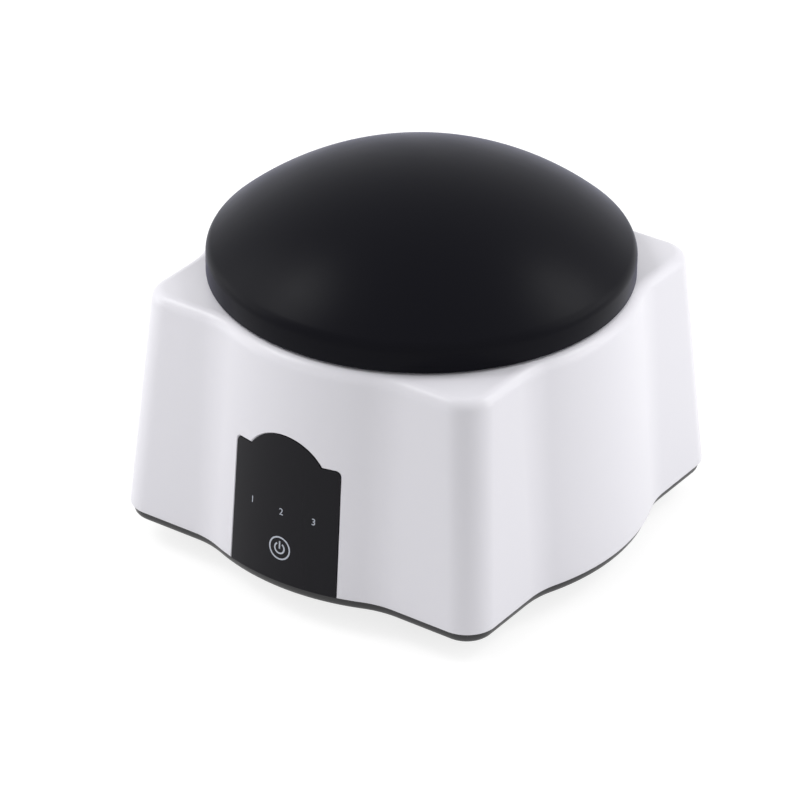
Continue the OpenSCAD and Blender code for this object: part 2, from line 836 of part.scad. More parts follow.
module heating_element() {
    color("#d9d6cc") {
        translate([-element_l / 2, -element_w / 2, element_z0])
            cube([element_l, element_w, element_h]);
        for (sy = [-1, 1])
            translate([element_l / 2 - lap, sy * terminal_y - terminal_w / 2, terminal_z - terminal_t / 2])
                cube([terminal_l + lap, terminal_w, terminal_t]);
    }
}

module element_clamp() {
    reach = clamp_screw_x + clamp_end;
    leg_x = element_l / 2 + clamp_gap;
    color("silver") difference() {
        union() {
            translate([-reach, -clamp_w / 2, flange_z0 - clamp_t]) cube([2 * reach, clamp_w, clamp_t]);
            translate([-leg_x - clamp_t, -clamp_w / 2, element_z0 - clamp_t])
                cube([2 * (leg_x + clamp_t), clamp_w, clamp_t + element_h]);
        }
        translate([-leg_x, -clamp_w, element_z0]) cube([2 * leg_x, 2 * clamp_w, element_h + over]);
        for (sx = [-1, 1]) translate([sx * clamp_screw_x, 0, flange_z0 - clamp_t - over])
            cylinder(r = clamp_screw_r + screw_room, h = clamp_t + 2 * over, $fn = 32);
    }
}

module clamp_screws() {
    color("silver") {
        for (sx = [-1, 1]) translate([sx * clamp_screw_x, 0, flange_z0 - clamp_t])
            pan_screw(clamp_screw_r, clamp_t + clamp_bite, clamp_screw_head.x, clamp_screw_head.y);
        for (p = small_screws) translate([p.x, p.y, p.z])
            pan_screw(small_screw_r, small_screw_l - tip_room, small_screw_head.x, small_screw_head.y);
    }
}

module temperature_sensor() {
    color("#c58f2a") difference() {
        union() {
            translate([0, sensor_y, flange_z0 - sensor_lug_t])
                cylinder(r = sensor_lug_r, h = sensor_lug_t, $fn = 32);
            translate([-sensor_l, sensor_y - sensor_w / 2, flange_z0 - sensor_w])
                cube([sensor_can_l, sensor_w, sensor_w]);
            translate([-sensor_l / 2, sensor_y - sensor_lug_r / 2, flange_z0 - sensor_lug_t])
                cube([sensor_l / 2, sensor_lug_r, sensor_lug_t]);
        }
        translate([0, sensor_y, flange_z0 - sensor_lug_t - over])
            cylinder(r = small_screw_r + screw_room, h = sensor_lug_t + 2 * over, $fn = 32);
    }
}

module thermal_fuse() {
    color("#d8cfae") translate([fuse_x, fuse_y - fuse_l / 2, fuse_z]) rotate([-90, 0, 0])
        cylinder(r = fuse_r, h = fuse_l, $fn = 32);
}

// Strap round the underside of the fuse, screwed to the plate by one ear
module fuse_clip() {
    inner = fuse_r + snug;
    outer = inner + fuse_clip_t;
    color("silver") translate([0, fuse_y - fuse_clip_w / 2, 0]) difference() {
        union() {
            translate([fuse_x, 0, fuse_z]) rotate([-90, 0, 0])
                cylinder(r = outer, h = fuse_clip_w, $fn = 48);
            translate([fuse_x - outer, 0, fuse_z]) cube([2 * outer, fuse_clip_w, fuse_r]);
            translate([fuse_x, 0, flange_z0 - fuse_clip_t])
                cube([fuse_screw_x + fuse_ear - fuse_x, fuse_clip_w, fuse_clip_t]);
        }
        translate([fuse_x, -over, fuse_z]) rotate([-90, 0, 0])
            cylinder(r = inner, h = fuse_clip_w + 2 * over, $fn = 48);
        translate([fuse_x - inner, -over, fuse_z])
            cube([2 * inner, fuse_clip_w + 2 * over, fuse_r + over]);
        translate([fuse_screw_x, fuse_clip_w / 2, flange_z0 - fuse_clip_t - over])
            cylinder(r = small_screw_r + screw_room, h = fuse_clip_t + 2 * over, $fn = 32);
    }
}

// ---- Solvent tray ------------------------------------------------------------
tray_rim = 1.2;
tray_ear_out = 2;
tray_ear_r = 5;
// Rounded corner of the tray, outside: distance in from its side, height
tray_round = [[2, 0], [0.6, 0.6], [0, 2]];
tray_round_in = 1.5;

module solvent_tray() {
    z0 = heater_top_z;
    color("#c9ccd0") {
        rotate_extrude($fn = 96) polygon([
            [0, z0],
            for (step = tray_round) [tray_r - step.x, z0 + step.y],
            [tray_r, z0 + tray_h - tray_wall],
            [tray_r + tray_rim, z0 + tray_h - tray_wall],
            [tray_r + tray_rim, z0 + tray_h],
            [tray_r - tray_wall, z0 + tray_h],
            [tray_r - tray_wall, z0 + tray_wall + tray_round_in],
            [tray_r - tray_wall - tray_round_in, z0 + tray_wall],
            [0, z0 + tray_wall],
        ]);
        for (sx = [-1, 1]) difference() {
            translate([sx * (tray_r + tray_ear_out), 0, z0 + tray_h - tray_wall])
                cylinder(r = tray_ear_r, h = tray_wall, $fn = 48);
            translate([0, 0, z0 + tray_h - tray_wall - over])
                cylinder(r = tray_r, h = tray_wall + 2 * over, $fn = 96);
        }
    }
}

// ---- Finger plate ------------------------------------------------------------
plate_rim_z1 = bowl_z1 + plate_t;
plate_apex_z = plate_rim_z1 + plate_rise;
dome_r = (rim_r ^ 2 + plate_rise ^ 2) / (2 * plate_rise);
dome_z = plate_apex_z - dome_r;
finger_tilt = asin(finger_circle_r / dome_r);
seat_rim = 3;
seat_top = 0.2;
seat_extra = 0.8;
seat_t = plate_t + seat_extra;
cuff_lip = 2.1;
cuff_room = 0.05;
grip_waist = 1.5;
grip_cap_h = 2;

// Runs its children at one finger hole: z = 0 on the dome, +Z out of the plate
module at_finger(k) {
    rotate([0, 0, 90 + (k - 3) * finger_step])
        translate([0, 0, dome_z]) rotate([0, finger_tilt, 0])
            translate([0, 0, dome_r]) children();
}

function dome_z_at(r, depth) = dome_z + sqrt((dome_r - depth) ^ 2 - r ^ 2);

module finger_plate() {
    steps = 16;
    color("#2b2b2f") difference() {
        union() {
            rotate_extrude($fn = 128) polygon(concat(
                [[rim_r, bowl_z1], [rim_r, plate_rim_z1]],
                [for (i = [1:steps]) let (r = rim_r * (1 - i / steps)) [r, dome_z_at(r, 0)]],
                [for (i = [0:steps]) let (r = (skirt_r - skirt_t) * i / steps)
                    [r, dome_z_at(r, plate_t)]],
                [[skirt_r - skirt_t, bowl_z1 - skirt_h], [skirt_r, bowl_z1 - skirt_h]],
                [[skirt_r, bowl_z1]]
            ));
            for (k = [1:5]) at_finger(k) translate([0, 0, seat_top - seat_t])
                cylinder(r = finger_hole_r + seat_rim, h = seat_t);
            translate([0, 0, plate_apex_z - lap]) {
                cylinder(r1 = grip_r, r2 = grip_r - grip_waist, h = grip_h - grip_cap_h + lap);
                translate([0, 0, grip_h - grip_cap_h + lap]) cylinder(r = grip_r, h = grip_cap_h);
            }
        }
        for (k = [1:5]) at_finger(k) translate([0, 0, -deep / 2])
            cylinder(r = finger_hole_r, h = deep);
    }
}

cuff_h = 1.5;           // of the flange on top of the plate
cuff_round = 0.5;       // easing of that flange
cuff_top_in = 2.2;      // distance of its top from the opening
cuff_catch_w = 1.4;     // catch under the plate
cuff_catch_h = 1.2;
cuff_bell_top = -0.4;   // heights at which the cone of the cuff begins and ends
cuff_bell_end = -2.8;
cuff_bell_t = 0.9;
cuff_tip = 0.4;

module finger_cuff(k) {
    top = seat_top + cuff_room;
    under = seat_top - seat_t - cuff_room;
    neck = finger_hole_r - snug;
    color("#4a4a50") at_finger(k) rotate_extrude($fn = 48) polygon([
        [cuff_open_r + cuff_top_in, top + cuff_h],
        [neck + cuff_lip - cuff_round, top + cuff_h],
        [neck + cuff_lip, top + cuff_h - cuff_round],
        [neck + cuff_lip, top],
        [neck, top],
        [neck, under],
        [neck + cuff_catch_w, under],
        [neck + cuff_catch_w, under - cuff_catch_h],
        [cuff_open_r + cuff_top_in, under - cuff_catch_h],
        [cuff_open_r + cuff_top_in, cuff_bell_top],
        [cuff_open_r + cuff_bell_t, cuff_bell_end - cuff_tip],
        [cuff_open_r, cuff_bell_end],
    ]);
}

module finger_cuff_1() { finger_cuff(1); }
module finger_cuff_2() { finger_cuff(2); }
module finger_cuff_3() { finger_cuff(3); }
module finger_cuff_4() { finger_cuff(4); }
module finger_cuff_5() { finger_cuff(5); }

// ---- Lid -------------------------------------------------------------------
lid_edge_r = 0.6;
dome_steps = 20;
lid_dome_rise = overall_h - lid_band_z1;
lid_dome_r = (lid_r ^ 2 + lid_dome_rise ^ 2) / (2 * lid_dome_rise);
lid_dome_z = overall_h - lid_dome_r;
seal_mid_r = (bore_r + collar_r) / 2;
seal_w = 2.4;
seal_key_w = 0.8;
seal_key_h = 1.5;
rib_extra = 0.8;
rib_w = seal_w + rib_extra;
least_round = 0.4;
seal_sink = 0.2;

// Centre of the rounding between band and dome, for a lid surface that lies
// depth inside the outer one
function shoulder_centre_z() =
    lid_dome_z + sqrt((lid_dome_r - lid_shoulder_r) ^ 2 - (lid_r - lid_shoulder_r) ^ 2);

function lid_profile(depth) =
    let (
        x = lid_r - lid_shoulder_r,
        z = shoulder_centre_z(),
        tilt = atan2(x, z - lid_dome_z),
        round_r = max(lid_shoulder_r - depth, least_round),
        sphere_r = lid_dome_r - depth
    ) concat(
        arc([lid_r - depth - round_r, z], round_r, 0, 90 - tilt, 6),
        [for (i = [1:dome_steps]) let (t = tilt * (1 - i / dome_steps))
            [sphere_r * sin(t), lid_dome_z + sphere_r * cos(t)]]
    );

module lid_cover() {
    inner = lid_profile(lid_wall);
    color("#1d1d20") {
        rotate_extrude($fn = 160) polygon(concat(
            [[lid_r - lid_wall + lid_edge_r / 2, lid_z0], [lid_r - lid_edge_r, lid_z0]],
            [[lid_r, lid_z0 + lid_edge_r]],
            lid_profile(0),
            [for (i = [len(inner) - 1:-1:0]) inner[i]],
            [[lid_r - lid_wall, lid_z0 + lid_edge_r / 2]]
        ));
        // rib that carries the seal
        rotate_extrude($fn = 160) difference() {
            translate([seal_mid_r - rib_w / 2, collar_z1 + seal_t])
                square([rib_w, lid_dome_z_at(seal_mid_r) - collar_z1 - seal_t]);
            translate([seal_mid_r - seal_key_w / 2, collar_z1])
                square([seal_key_w, seal_t + seal_key_h]);
        }
    }
}

// Height at which the rib ends, inside the dome's wall
function lid_dome_z_at(r) = lid_dome_z + sqrt((lid_dome_r - lid_wall / 2) ^ 2 - (r + rib_w / 2) ^ 2);

module lid_seal() {
    color("#5b5b60") rotate_extrude($fn = 160) {
        translate([seal_mid_r - seal_w / 2, collar_z1]) square([seal_w, seal_t]);
        translate([seal_mid_r - seal_key_w / 2 + cuff_room, collar_z1 + seal_t - seal_sink])
            square([seal_key_w - 2 * cuff_room, seal_key_h]);
    }
}

// ---- Power inlet -------------------------------------------------------------
barrel_l = 15;
nut_t = 2;
nut_r = 6.4;
tab_l = 4;
shank_r = 1.4;
pin_sink = 1.5;
barrel_y0 = inlet_face_y - barrel_l;
socket_y0 = inlet_face_y + inlet_flange_t - socket_depth;

module inlet_socket() {
    color("#1c1c1e") difference() {
        union() {
            at_inlet(barrel_y0) cylinder(r = inlet_thread_r, h = barrel_l, $fn = 48);
            at_inlet(inlet_face_y) cylinder(r = inlet_flange_r, h = inlet_flange_t, $fn = 48);
        }
        at_inlet(socket_y0) cylinder(r = socket_r, h = socket_depth + over, $fn = 48);
        at_inlet(barrel_y0 - over) cylinder(r = shank_r + thread_room, h = barrel_l, $fn = 32);
    }
}

module inlet_pin() {
    color("#c9ccd0") {
        at_inlet(barrel_y0 - tab_l) cylinder(r = shank_r, h = socket_y0 - barrel_y0 + tab_l, $fn = 32);
        at_inlet(socket_y0) cylinder(r = contact_r, h = socket_depth - pin_sink, $fn = 32);
    }
}

module inlet_nut() {
    color("silver") difference() {
        at_inlet(inlet_pad_y - nut_t) cylinder(r = nut_r, h = nut_t, $fn = 6);
        at_inlet(inlet_pad_y - nut_t - over)
            cylinder(r = inlet_thread_r + thread_room, h = nut_t + 2 * over, $fn = 48);
    }
}

// ---- Leads inside the case ------------------------------------------------------
lead_r = 0.9;
lead_pitch = 3.5;
lead_sides = 8;
lead_lift = 2.5;        // above the base's floor
lead_floor_z = base_floor_z + lead_lift;
lead_rise = 5;          // extra height where a lead comes down from the heater
lead_end_l = 5;         // straight run where a lead leaves its piece
lead_drop = 6;          // straight run below a plug of the board
lane_in = 23.5;
lane = bulge_r - lane_in;

function unit(v) = v / norm(v);

// Rounds a route off by cutting its corners, times over
function rounded(route, times) =
    times == 0 ? route :
    let (last = len(route) - 1) rounded(concat(
        [route[0]],
        [for (i = [0:last - 1]) each [
            route[i] * 0.75 + route[i + 1] * 0.25,
            route[i] * 0.25 + route[i + 1] * 0.75,
        ]],
        [route[last]]
    ), times - 1);

// A side direction square to each step of the route, carried along it
function carried(ways, side, i = 0) =
    i == len(ways) ? [] :
    let (square_side = unit(side - (side * ways[i]) * ways[i]))
    concat([square_side], carried(ways, square_side, i + 1));

module lead(route, side) {
    line = rounded(route, 2);
    last = len(line) - 1;
    ways = [for (i = [0:last]) unit(line[min(i + 1, last)] - line[max(i - 1, 0)])];
    sides = carried(ways, side);
    ring_solid([for (i = [0:last]) let (across = cross(ways[i], sides[i]))
        [for (k = [0:lead_sides - 1]) let (t = -360 * k / lead_sides)
            line[i] + lead_r * (cos(t) * sides[i] + sin(t) * across)]]);
}

// Runs a pair of leads one above the other; the upper one is k = 1
function pair(p, k) = p + [0, 0, lead_pitch * k];

// Ends of a pair of leads side by side under a plug of the board
function at_plug(x, k, below = 0) =
    [x + lead_pitch * (k - 0.5), board_back_y + plug_t / 2, plug_z - below];

// A point on the leads' way, in shares of their lane's distance from the middle
function on_lane(x, y, rise = 0) = [x * lane, y * lane, lead_floor_z + rise];

// From the inlet forward along the left-hand wall to the board
module inlet_leads() {
    starts = [[0, barrel_y0 - tab_l, inlet_z], [-lead_pitch, barrel_y0, inlet_z]];
    color("#a33030") for (k = [0, 1]) lead([
        starts[k],
        starts[k] - [0, lead_end_l, 0],
        pair(on_lane(-0.16, 0.84), k),
        pair(on_lane(-0.88, 0.64), k),
        pair(on_lane(-1, 0), k),
        pair(on_lane(-0.84, -0.68), k),
        pair(on_lane(-0.44, -0.96), k),
        at_plug(plug_x[0], 1 - k, lead_drop),
        at_plug(plug_x[0], 1 - k),
    ], side = [0, 0, 1]);
}

// From the heating element, one lead by way of the fuse, to the board
module heater_leads() {
    tab = [element_l / 2 + terminal_l, terminal_y, terminal_z];
    back_tab = [tab.x, -terminal_y, tab.z];
    bend = [lead_end_l, 0, 0];
    fuse_back = [fuse_x, fuse_y + fuse_l / 2, fuse_z];
    fuse_front = [fuse_x, fuse_y - fuse_l / 2, fuse_z];
    run = [0, lead_end_l, 0];
    color("#e8e4d8") {
        lead([
            tab,
            tab + bend,
            tab + 0.6 * bend + 1.6 * run,
            fuse_back + 1.2 * run,
            fuse_back,
        ], side = [0, 0, 1]);
        lead([
            fuse_front,
            fuse_front - run,
            on_lane(0.6, -0.4, lead_rise),
            on_lane(0.46, -0.84),
            at_plug(plug_x[2], 1, lead_drop),
            at_plug(plug_x[2], 1),
        ], side = [0, 0, 1]);
        lead([
            back_tab,
            back_tab + bend,
            on_lane(0.44, -0.36, lead_rise),
            on_lane(0.34, -0.84),
            at_plug(plug_x[2], 0, lead_drop),
            at_plug(plug_x[2], 0),
        ], side = [0, 0, 1]);
    }
}

// From the temperature sensor to the board
module sensor_lead() {
    start = [-sensor_l, sensor_y, flange_z0 - sensor_w / 2];
    color("#3a3a3e") lead([
        start,
        start - [lead_end_l, 0, 0],
        on_lane(-0.3, -0.52, lead_rise),
        on_lane(-0.12, -0.88),
        at_plug(plug_x[1], 0.5, lead_drop),
        at_plug(plug_x[1], 0.5),
    ], side = [0, 0, 1]);
}

// ---- The machine ---------------------------------------------------------------
case_shell();
base_plate();
rubber_feet();
case_screws();
control_panel();
power_key();
switch_plunger();
tact_switch();
light_guide();
indicator_leds();
control_board();
board_screws();
controller_chip();
heater_transistor();
supply_capacitor();
board_connectors();
steam_bowl();
bowl_screws();
heater_gasket();
heater_plate();
heater_screws();
heating_element();
element_clamp();
clamp_screws();
temperature_sensor();
thermal_fuse();
fuse_clip();
solvent_tray();
finger_plate();
finger_cuff_1();
finger_cuff_2();
finger_cuff_3();
finger_cuff_4();
finger_cuff_5();
lid_cover();
lid_seal();
inlet_socket();
inlet_pin();
inlet_nut();
inlet_leads();
heater_leads();
sensor_lead();
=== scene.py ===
# %% [markdown]
# # A steam machine for gel nail polish
# The imported frame already holds every piece at its real size. This script
# dresses it: it gives each surface its finish, and models the moulded pieces
# once more with finer curves and eased edges, because glossy white plastic
# shows every facet. First the frame is loaded.

import json
import math

import bmesh
import bpy
from mathutils import Matrix, Vector


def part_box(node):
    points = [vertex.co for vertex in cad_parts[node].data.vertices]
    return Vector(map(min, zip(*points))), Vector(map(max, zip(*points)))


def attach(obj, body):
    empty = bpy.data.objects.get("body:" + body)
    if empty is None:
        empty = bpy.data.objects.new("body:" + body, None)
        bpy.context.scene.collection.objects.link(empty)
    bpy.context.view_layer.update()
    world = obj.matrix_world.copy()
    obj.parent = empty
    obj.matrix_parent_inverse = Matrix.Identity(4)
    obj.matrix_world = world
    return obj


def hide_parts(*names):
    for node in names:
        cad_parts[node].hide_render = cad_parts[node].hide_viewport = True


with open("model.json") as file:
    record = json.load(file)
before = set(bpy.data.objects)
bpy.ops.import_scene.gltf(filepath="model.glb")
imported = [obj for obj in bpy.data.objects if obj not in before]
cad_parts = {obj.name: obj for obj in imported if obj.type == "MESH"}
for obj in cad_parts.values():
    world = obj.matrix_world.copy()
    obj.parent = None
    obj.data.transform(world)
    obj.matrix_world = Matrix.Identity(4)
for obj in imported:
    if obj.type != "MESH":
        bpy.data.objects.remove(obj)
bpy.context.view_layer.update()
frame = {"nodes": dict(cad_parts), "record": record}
MM = 0.001

# %% [markdown]
# ## Camera
# Every later choice is judged through the camera, so it comes first. The
# photograph looks down at about 30 degrees, from 35 degrees to the right of
# the control panel, through a long lens: upright edges hardly converge.

# %% Camera
CAMERA_AZIMUTH = math.radians(34.86)
CAMERA_ELEVATION = math.radians(30.34)
CAMERA_ROLL = math.radians(0.518)
CAMERA_DISTANCE = 1306.9 * MM
CAMERA_TARGET = Vector((-1.08, -9.05, 43.36)) * MM


def from_direction(azimuth, elevation):
    """Unit vector towards an azimuth, 0 being the panel's side, and an elevation."""
    return Vector((
        math.cos(elevation) * math.sin(azimuth),
        -math.cos(elevation) * math.cos(azimuth),
        math.sin(elevation),
    ))


back = from_direction(CAMERA_AZIMUTH, CAMERA_ELEVATION)
right = Matrix.Rotation(CAMERA_ROLL, 3, back) @ Vector((0, 0, 1)).cross(back).normalized()
up = back.cross(right)
camera = bpy.data.objects.new("camera", bpy.data.cameras.new("camera"))
camera.data.lens = 192.67
camera.data.sensor_width = 36.0
camera.data.clip_end = 20.0
camera.matrix_world = (
    Matrix.Translation(CAMERA_TARGET + back * CAMERA_DISTANCE)
    @ Matrix((right, up, back)).transposed().to_4x4()
)
bpy.context.scene.collection.objects.link(camera)
bpy.context.scene.camera = camera
print("camera at", [round(v, 3) for v in camera.matrix_world.translation], "m")

# %% [markdown]
# ## Finishes
# Each finish is one procedural material on Object coordinates, which are
# metres here: a noise of 400 grains per metre is 2.5 mm coarse. Plain values
# are set on the shader itself. What varies, such as a mould's grain or the
# cloudiness of a gloss, is a noise that feeds colour, roughness or relief.

# %% Helpers for finishes
def principled(material):
    return material.node_tree.nodes["Principled BSDF"]


FINISH = {}


def new_material(name, colour, roughness, metallic=0.0, specular=0.5, **values):
    """A material whose plain values sit on the shader's own sockets."""
    material = bpy.data.materials.new(name)
    material.use_nodes = True
    shader = principled(material)
    shader.inputs["Base Color"].default_value = (*colour, 1)
    shader.inputs["Roughness"].default_value = roughness
    shader.inputs["Metallic"].default_value = metallic
    shader.inputs["Specular IOR Level"].default_value = specular
    for socket, value in values.items():
        shader.inputs[socket.replace("_", " ")].default_value = value
    material.diffuse_color = (*colour, 1)
    FINISH[name] = material
    return material


def noise(material, scale, detail=2.0, stretch=(1, 1, 1)):
    """A noise over the piece, in grains per metre, stretched along an axis if asked."""
    nodes, links = material.node_tree.nodes, material.node_tree.links
    place = nodes.new("ShaderNodeTexCoord")
    mapping = nodes.new("ShaderNodeMapping")
    mapping.inputs["Scale"].default_value = stretch
    pattern = nodes.new("ShaderNodeTexNoise")
    pattern.inputs["Scale"].default_value = scale
    pattern.inputs["Detail"].default_value = detail
    links.new(place.outputs["Object"], mapping.inputs["Vector"])
    links.new(mapping.outputs["Vector"], pattern.inputs["Vector"])
    return pattern.outputs["Fac"]


NOISE_LOW, NOISE_HIGH = 0.3, 0.7


def vary(material, pattern, low, high, socket="Roughness"):
    """Lets a plain socket wander between two values."""
    nodes, links = material.node_tree.nodes, material.node_tree.links
    scale = nodes.new("ShaderNodeMapRange")
    scale.inputs["From Min"].default_value = NOISE_LOW
    scale.inputs["From Max"].default_value = NOISE_HIGH
    scale.inputs["To Min"].default_value = low
    scale.inputs["To Max"].default_value = high
    links.new(pattern, scale.inputs["Value"])
    links.new(scale.outputs["Result"], principled(material).inputs[socket])


def tint(material, pattern, first, second):
    """Lets the base colour wander between two close colours."""
    nodes, links = material.node_tree.nodes, material.node_tree.links
    ramp = nodes.new("ShaderNodeValToRGB")
    stops = zip(ramp.color_ramp.elements, (NOISE_LOW, NOISE_HIGH), (first, second))
    for stop, place, colour in stops:
        stop.position = place
        stop.color = (*colour, 1)
    links.new(pattern, ramp.inputs["Fac"])
    links.new(ramp.outputs["Color"], principled(material).inputs["Base Color"])


def relief(material, pattern, height):
    """Gives the surface a grain of this height in metres."""
    nodes, links = material.node_tree.nodes, material.node_tree.links
    bump = nodes.new("ShaderNodeBump")
    bump.inputs["Distance"].default_value = height
    links.new(pattern, bump.inputs["Height"])
    links.new(bump.outputs["Normal"], principled(material).inputs["Normal"])


def shades(colour, share):
    """A colour made darker and lighter by a share."""
    darker = tuple(c * (1 - share) for c in colour)
    lighter = tuple(min(c * (1 + share), 1.0) for c in colour)
    return [darker, lighter]


def moulded(name, colour, roughness, grain, height, specular=0.5, wander=0.04, **values):
    """Moulded plastic or rubber: a grain, a slightly uneven gloss, a slight wander of colour."""
    material = new_material(name, colour, roughness, specular=specular, **values)
    tint(material, noise(material, grain * 0.1, 3), *shades(colour, wander))
    vary(material, noise(material, grain * 0.2, 3), roughness * 0.92, roughness * 1.08)
    relief(material, noise(material, grain, 3), height)
    return material


def metal(name, colour, roughness, grain, height, stretch=(1, 1, 1), wander=0.06):
    """Bare metal: fine lines or grain in colour, roughness and relief."""
    material = new_material(name, colour, roughness, metallic=1.0)
    lines = noise(material, grain, 3, stretch)
    tint(material, lines, *shades(colour, wander))
    vary(material, lines, roughness * 0.8, roughness * 1.25)
    relief(material, lines, height)
    return material


print("helpers for finishes are ready")

# %% [markdown]
# Three finishes make the outside. The case is gloss plastic in a cool white,
# with soft reflections and next to no grain. The lid has a satin coat, nearly
# black, which mirrors little except at a grazing look. The panel is a smooth
# black film.

# %% Finishes of the outside
white = new_material("white_gloss", (0.80, 0.79, 0.84), 0.3, specular=0.4)
vary(white, noise(white, 25, 2), 0.28, 0.33)
relief(white, noise(white, 120, 1), 0.000004)

coat = new_material("lid_black", (0.0055, 0.0055, 0.0082), 0.34, specular=0.05,
                    Sheen_Weight=0.1, Sheen_Roughness=0.25, Sheen_Tint=(0.15, 0.2, 1.0, 1.0))
vary(coat, noise(coat, 60, 3), 0.32, 0.36)
relief(coat, noise(coat, 1500, 2), 0.0000015)

film = new_material("panel_black", (0.0048, 0.0044, 0.0072), 0.24, specular=0.16)
vary(film, noise(film, 60, 2), 0.22, 0.27)
relief(film, noise(film, 300, 1), 0.0000008)

ink = new_material("print_grey", (0.50, 0.53, 0.60), 0.5)
tint(ink, noise(ink, 2500, 2), (0.42, 0.45, 0.52), (0.56, 0.59, 0.66))

moulded("black_base", (0.012, 0.0115, 0.013), 0.38, 1600, 0.000006)
print("outside:", sorted(FINISH))

# %% [markdown]
# Under the lid and inside the case there are plastics, soft silicones, metals
# and the board. They come from two recipes, one for what is moulded and one
# for bare metal, with the colour, gloss and grain of the real material.

# %% Finishes of the inside
moulded("plate_black", (0.018, 0.018, 0.020), 0.42, 1400, 0.000012)
moulded("cuff_silicone", (0.075, 0.075, 0.082), 0.6, 900, 0.000008, specular=0.4,
        Sheen_Weight=0.1)
moulded("bowl_white", (0.76, 0.765, 0.77), 0.34, 300, 0.000004, wander=0.01)
moulded("black_rubber", (0.016, 0.016, 0.017), 0.72, 1500, 0.00003, specular=0.35)
moulded("red_silicone", (0.46, 0.045, 0.03), 0.5, 700, 0.00001)
moulded("black_nylon", (0.022, 0.022, 0.024), 0.5, 1500, 0.00001)
moulded("ivory_nylon", (0.66, 0.60, 0.46), 0.45, 1500, 0.000008)
moulded("led_cream", (0.72, 0.67, 0.48), 0.4, 2500, 0.000004)
moulded("capacitor_sleeve", (0.028, 0.05, 0.13), 0.3, 1800, 0.000004)
moulded("element_ceramic", (0.62, 0.60, 0.54), 0.75, 1800, 0.00003)
moulded("lead_red", (0.34, 0.02, 0.018), 0.42, 1200, 0.000008)
moulded("lead_white", (0.62, 0.60, 0.55), 0.42, 1200, 0.000008)
moulded("lead_black", (0.02, 0.02, 0.022), 0.42, 1200, 0.000008)
metal("screw_steel", (0.48, 0.49, 0.51), 0.24, 2200, 0.000004)
metal("clip_steel", (0.46, 0.46, 0.47), 0.34, 1200, 0.000005, (1, 8, 1))
metal("cast_aluminium", (0.56, 0.57, 0.58), 0.42, 1300, 0.00002)
metal("tray_aluminium", (0.66, 0.67, 0.69), 0.3, 420, 0.000006, (1, 14, 1))
metal("sensor_brass", (0.55, 0.36, 0.12), 0.3, 1800, 0.000004)
metal("contact_nickel", (0.60, 0.57, 0.51), 0.2, 1500, 0.000003)

clear = new_material("clear_plastic", (0.80, 0.88, 0.90), 0.12, Transmission_Weight=0.9, IOR=1.49)
relief(clear, noise(clear, 400, 2), 0.000004)

board = new_material("board_green", (0.016, 0.115, 0.045), 0.35)
tint(board, noise(board, 700, 1, (1, 1, 0.15)), (0.012, 0.10, 0.038), (0.03, 0.16, 0.07))
relief(board, noise(board, 700, 1, (1, 1, 0.15)), 0.00003)
print("inside:", len(FINISH) - 5, "finishes")

# %% [markdown]
# Every node of the frame gets the finish of its slot. Some are replaced
# further down, and the hidden ones keep their CAD shape and this finish.

# %% Finishes on the frame
for row in frame["record"]["subparts"]:
    mesh = frame["nodes"][row["node"]].data
    mesh.materials.clear()
    mesh.materials.append(FINISH[row["material_slot"]])

# %% [markdown]
# ## Shapes
# All shapes are drawn in millimetres, with the frame's own levels, and are
# scaled to metres when they become a piece. Edges that turn by more than 32
# degrees are kept sharp, and all else is shaded smooth.

# %% Helpers for pieces
SHARP = math.radians(32)
# Faces round a full turn, for pieces from a screw boss to the lid.
TINY, SMALL, MIDDLE, WIDE, LARGE, LARGEST = 48, 64, 96, 128, 160, 192
MERGE = 0.0005


def box_mm(node):
    """Lowest and highest corners of a node of the frame, in millimetres."""
    low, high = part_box(node)
    return low / MM, high / MM


def sharp_edges(bm, least=SHARP):
    return [e for e in bm.edges if len(e.link_faces) == 2 and e.calc_face_angle(0) > least]


def ease(bm, width, segments=3, least=SHARP):
    """Rounds the sharp edges of a shape off a little."""
    bmesh.ops.bevel(bm, geom=sharp_edges(bm, least), offset=width, offset_type="OFFSET",
                    affect="EDGES", segments=segments, profile=0.5, material=-1, clamp_overlap=True)
    return bm


def make_piece(bm, name, body, slot, replaced=(), material=None):
    """Turns a shape in millimetres into a piece of the machine that rides on a body."""
    bmesh.ops.scale(bm, vec=(MM, MM, MM), verts=bm.verts)
    bm.normal_update()
    for face in bm.faces:
        face.smooth = True
    for edge in bm.edges:
        edge.smooth = True
    for edge in sharp_edges(bm):
        edge.smooth = False
    mesh = bpy.data.meshes.new(name)
    bm.to_mesh(mesh)
    bm.free()
    mesh.materials.append(FINISH[material or slot])
    piece = bpy.data.objects.new(name, mesh)
    bpy.context.scene.collection.objects.link(piece)
    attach(piece, body)
    if replaced:
        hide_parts(*replaced)
    print(name + ":", len(mesh.polygons), "faces")
    return piece


def arc(centre, radius, start, end, steps):
    """Points of an arc, its angles in degrees."""
    angles = [math.radians(start + (end - start) * i / steps) for i in range(steps + 1)]
    return [(centre[0] + radius * math.cos(t), centre[1] + radius * math.sin(t)) for t in angles]


def turned(profile, steps=WIDE, closed=True):
    """A shape turned about +Z from a profile of (radius, height) pairs."""
    bm = bmesh.new()
    vertices = [bm.verts.new((r, 0, z)) for r, z in profile]
    pairs = list(zip(vertices, vertices[1:] + (vertices[:1] if closed else [])))
    edges = [bm.edges.new((a, b)) for a, b in pairs if a.co.x + b.co.x > 1e-6]
    bmesh.ops.spin(bm, geom=vertices + edges, cent=(0, 0, 0), axis=(0, 0, 1), angle=math.tau,
                   steps=steps, use_merge=True, use_normal_flip=False, use_duplicate=False)
    bmesh.ops.remove_doubles(bm, verts=bm.verts, dist=MERGE)
    bmesh.ops.recalc_face_normals(bm, faces=bm.faces)
    return bm


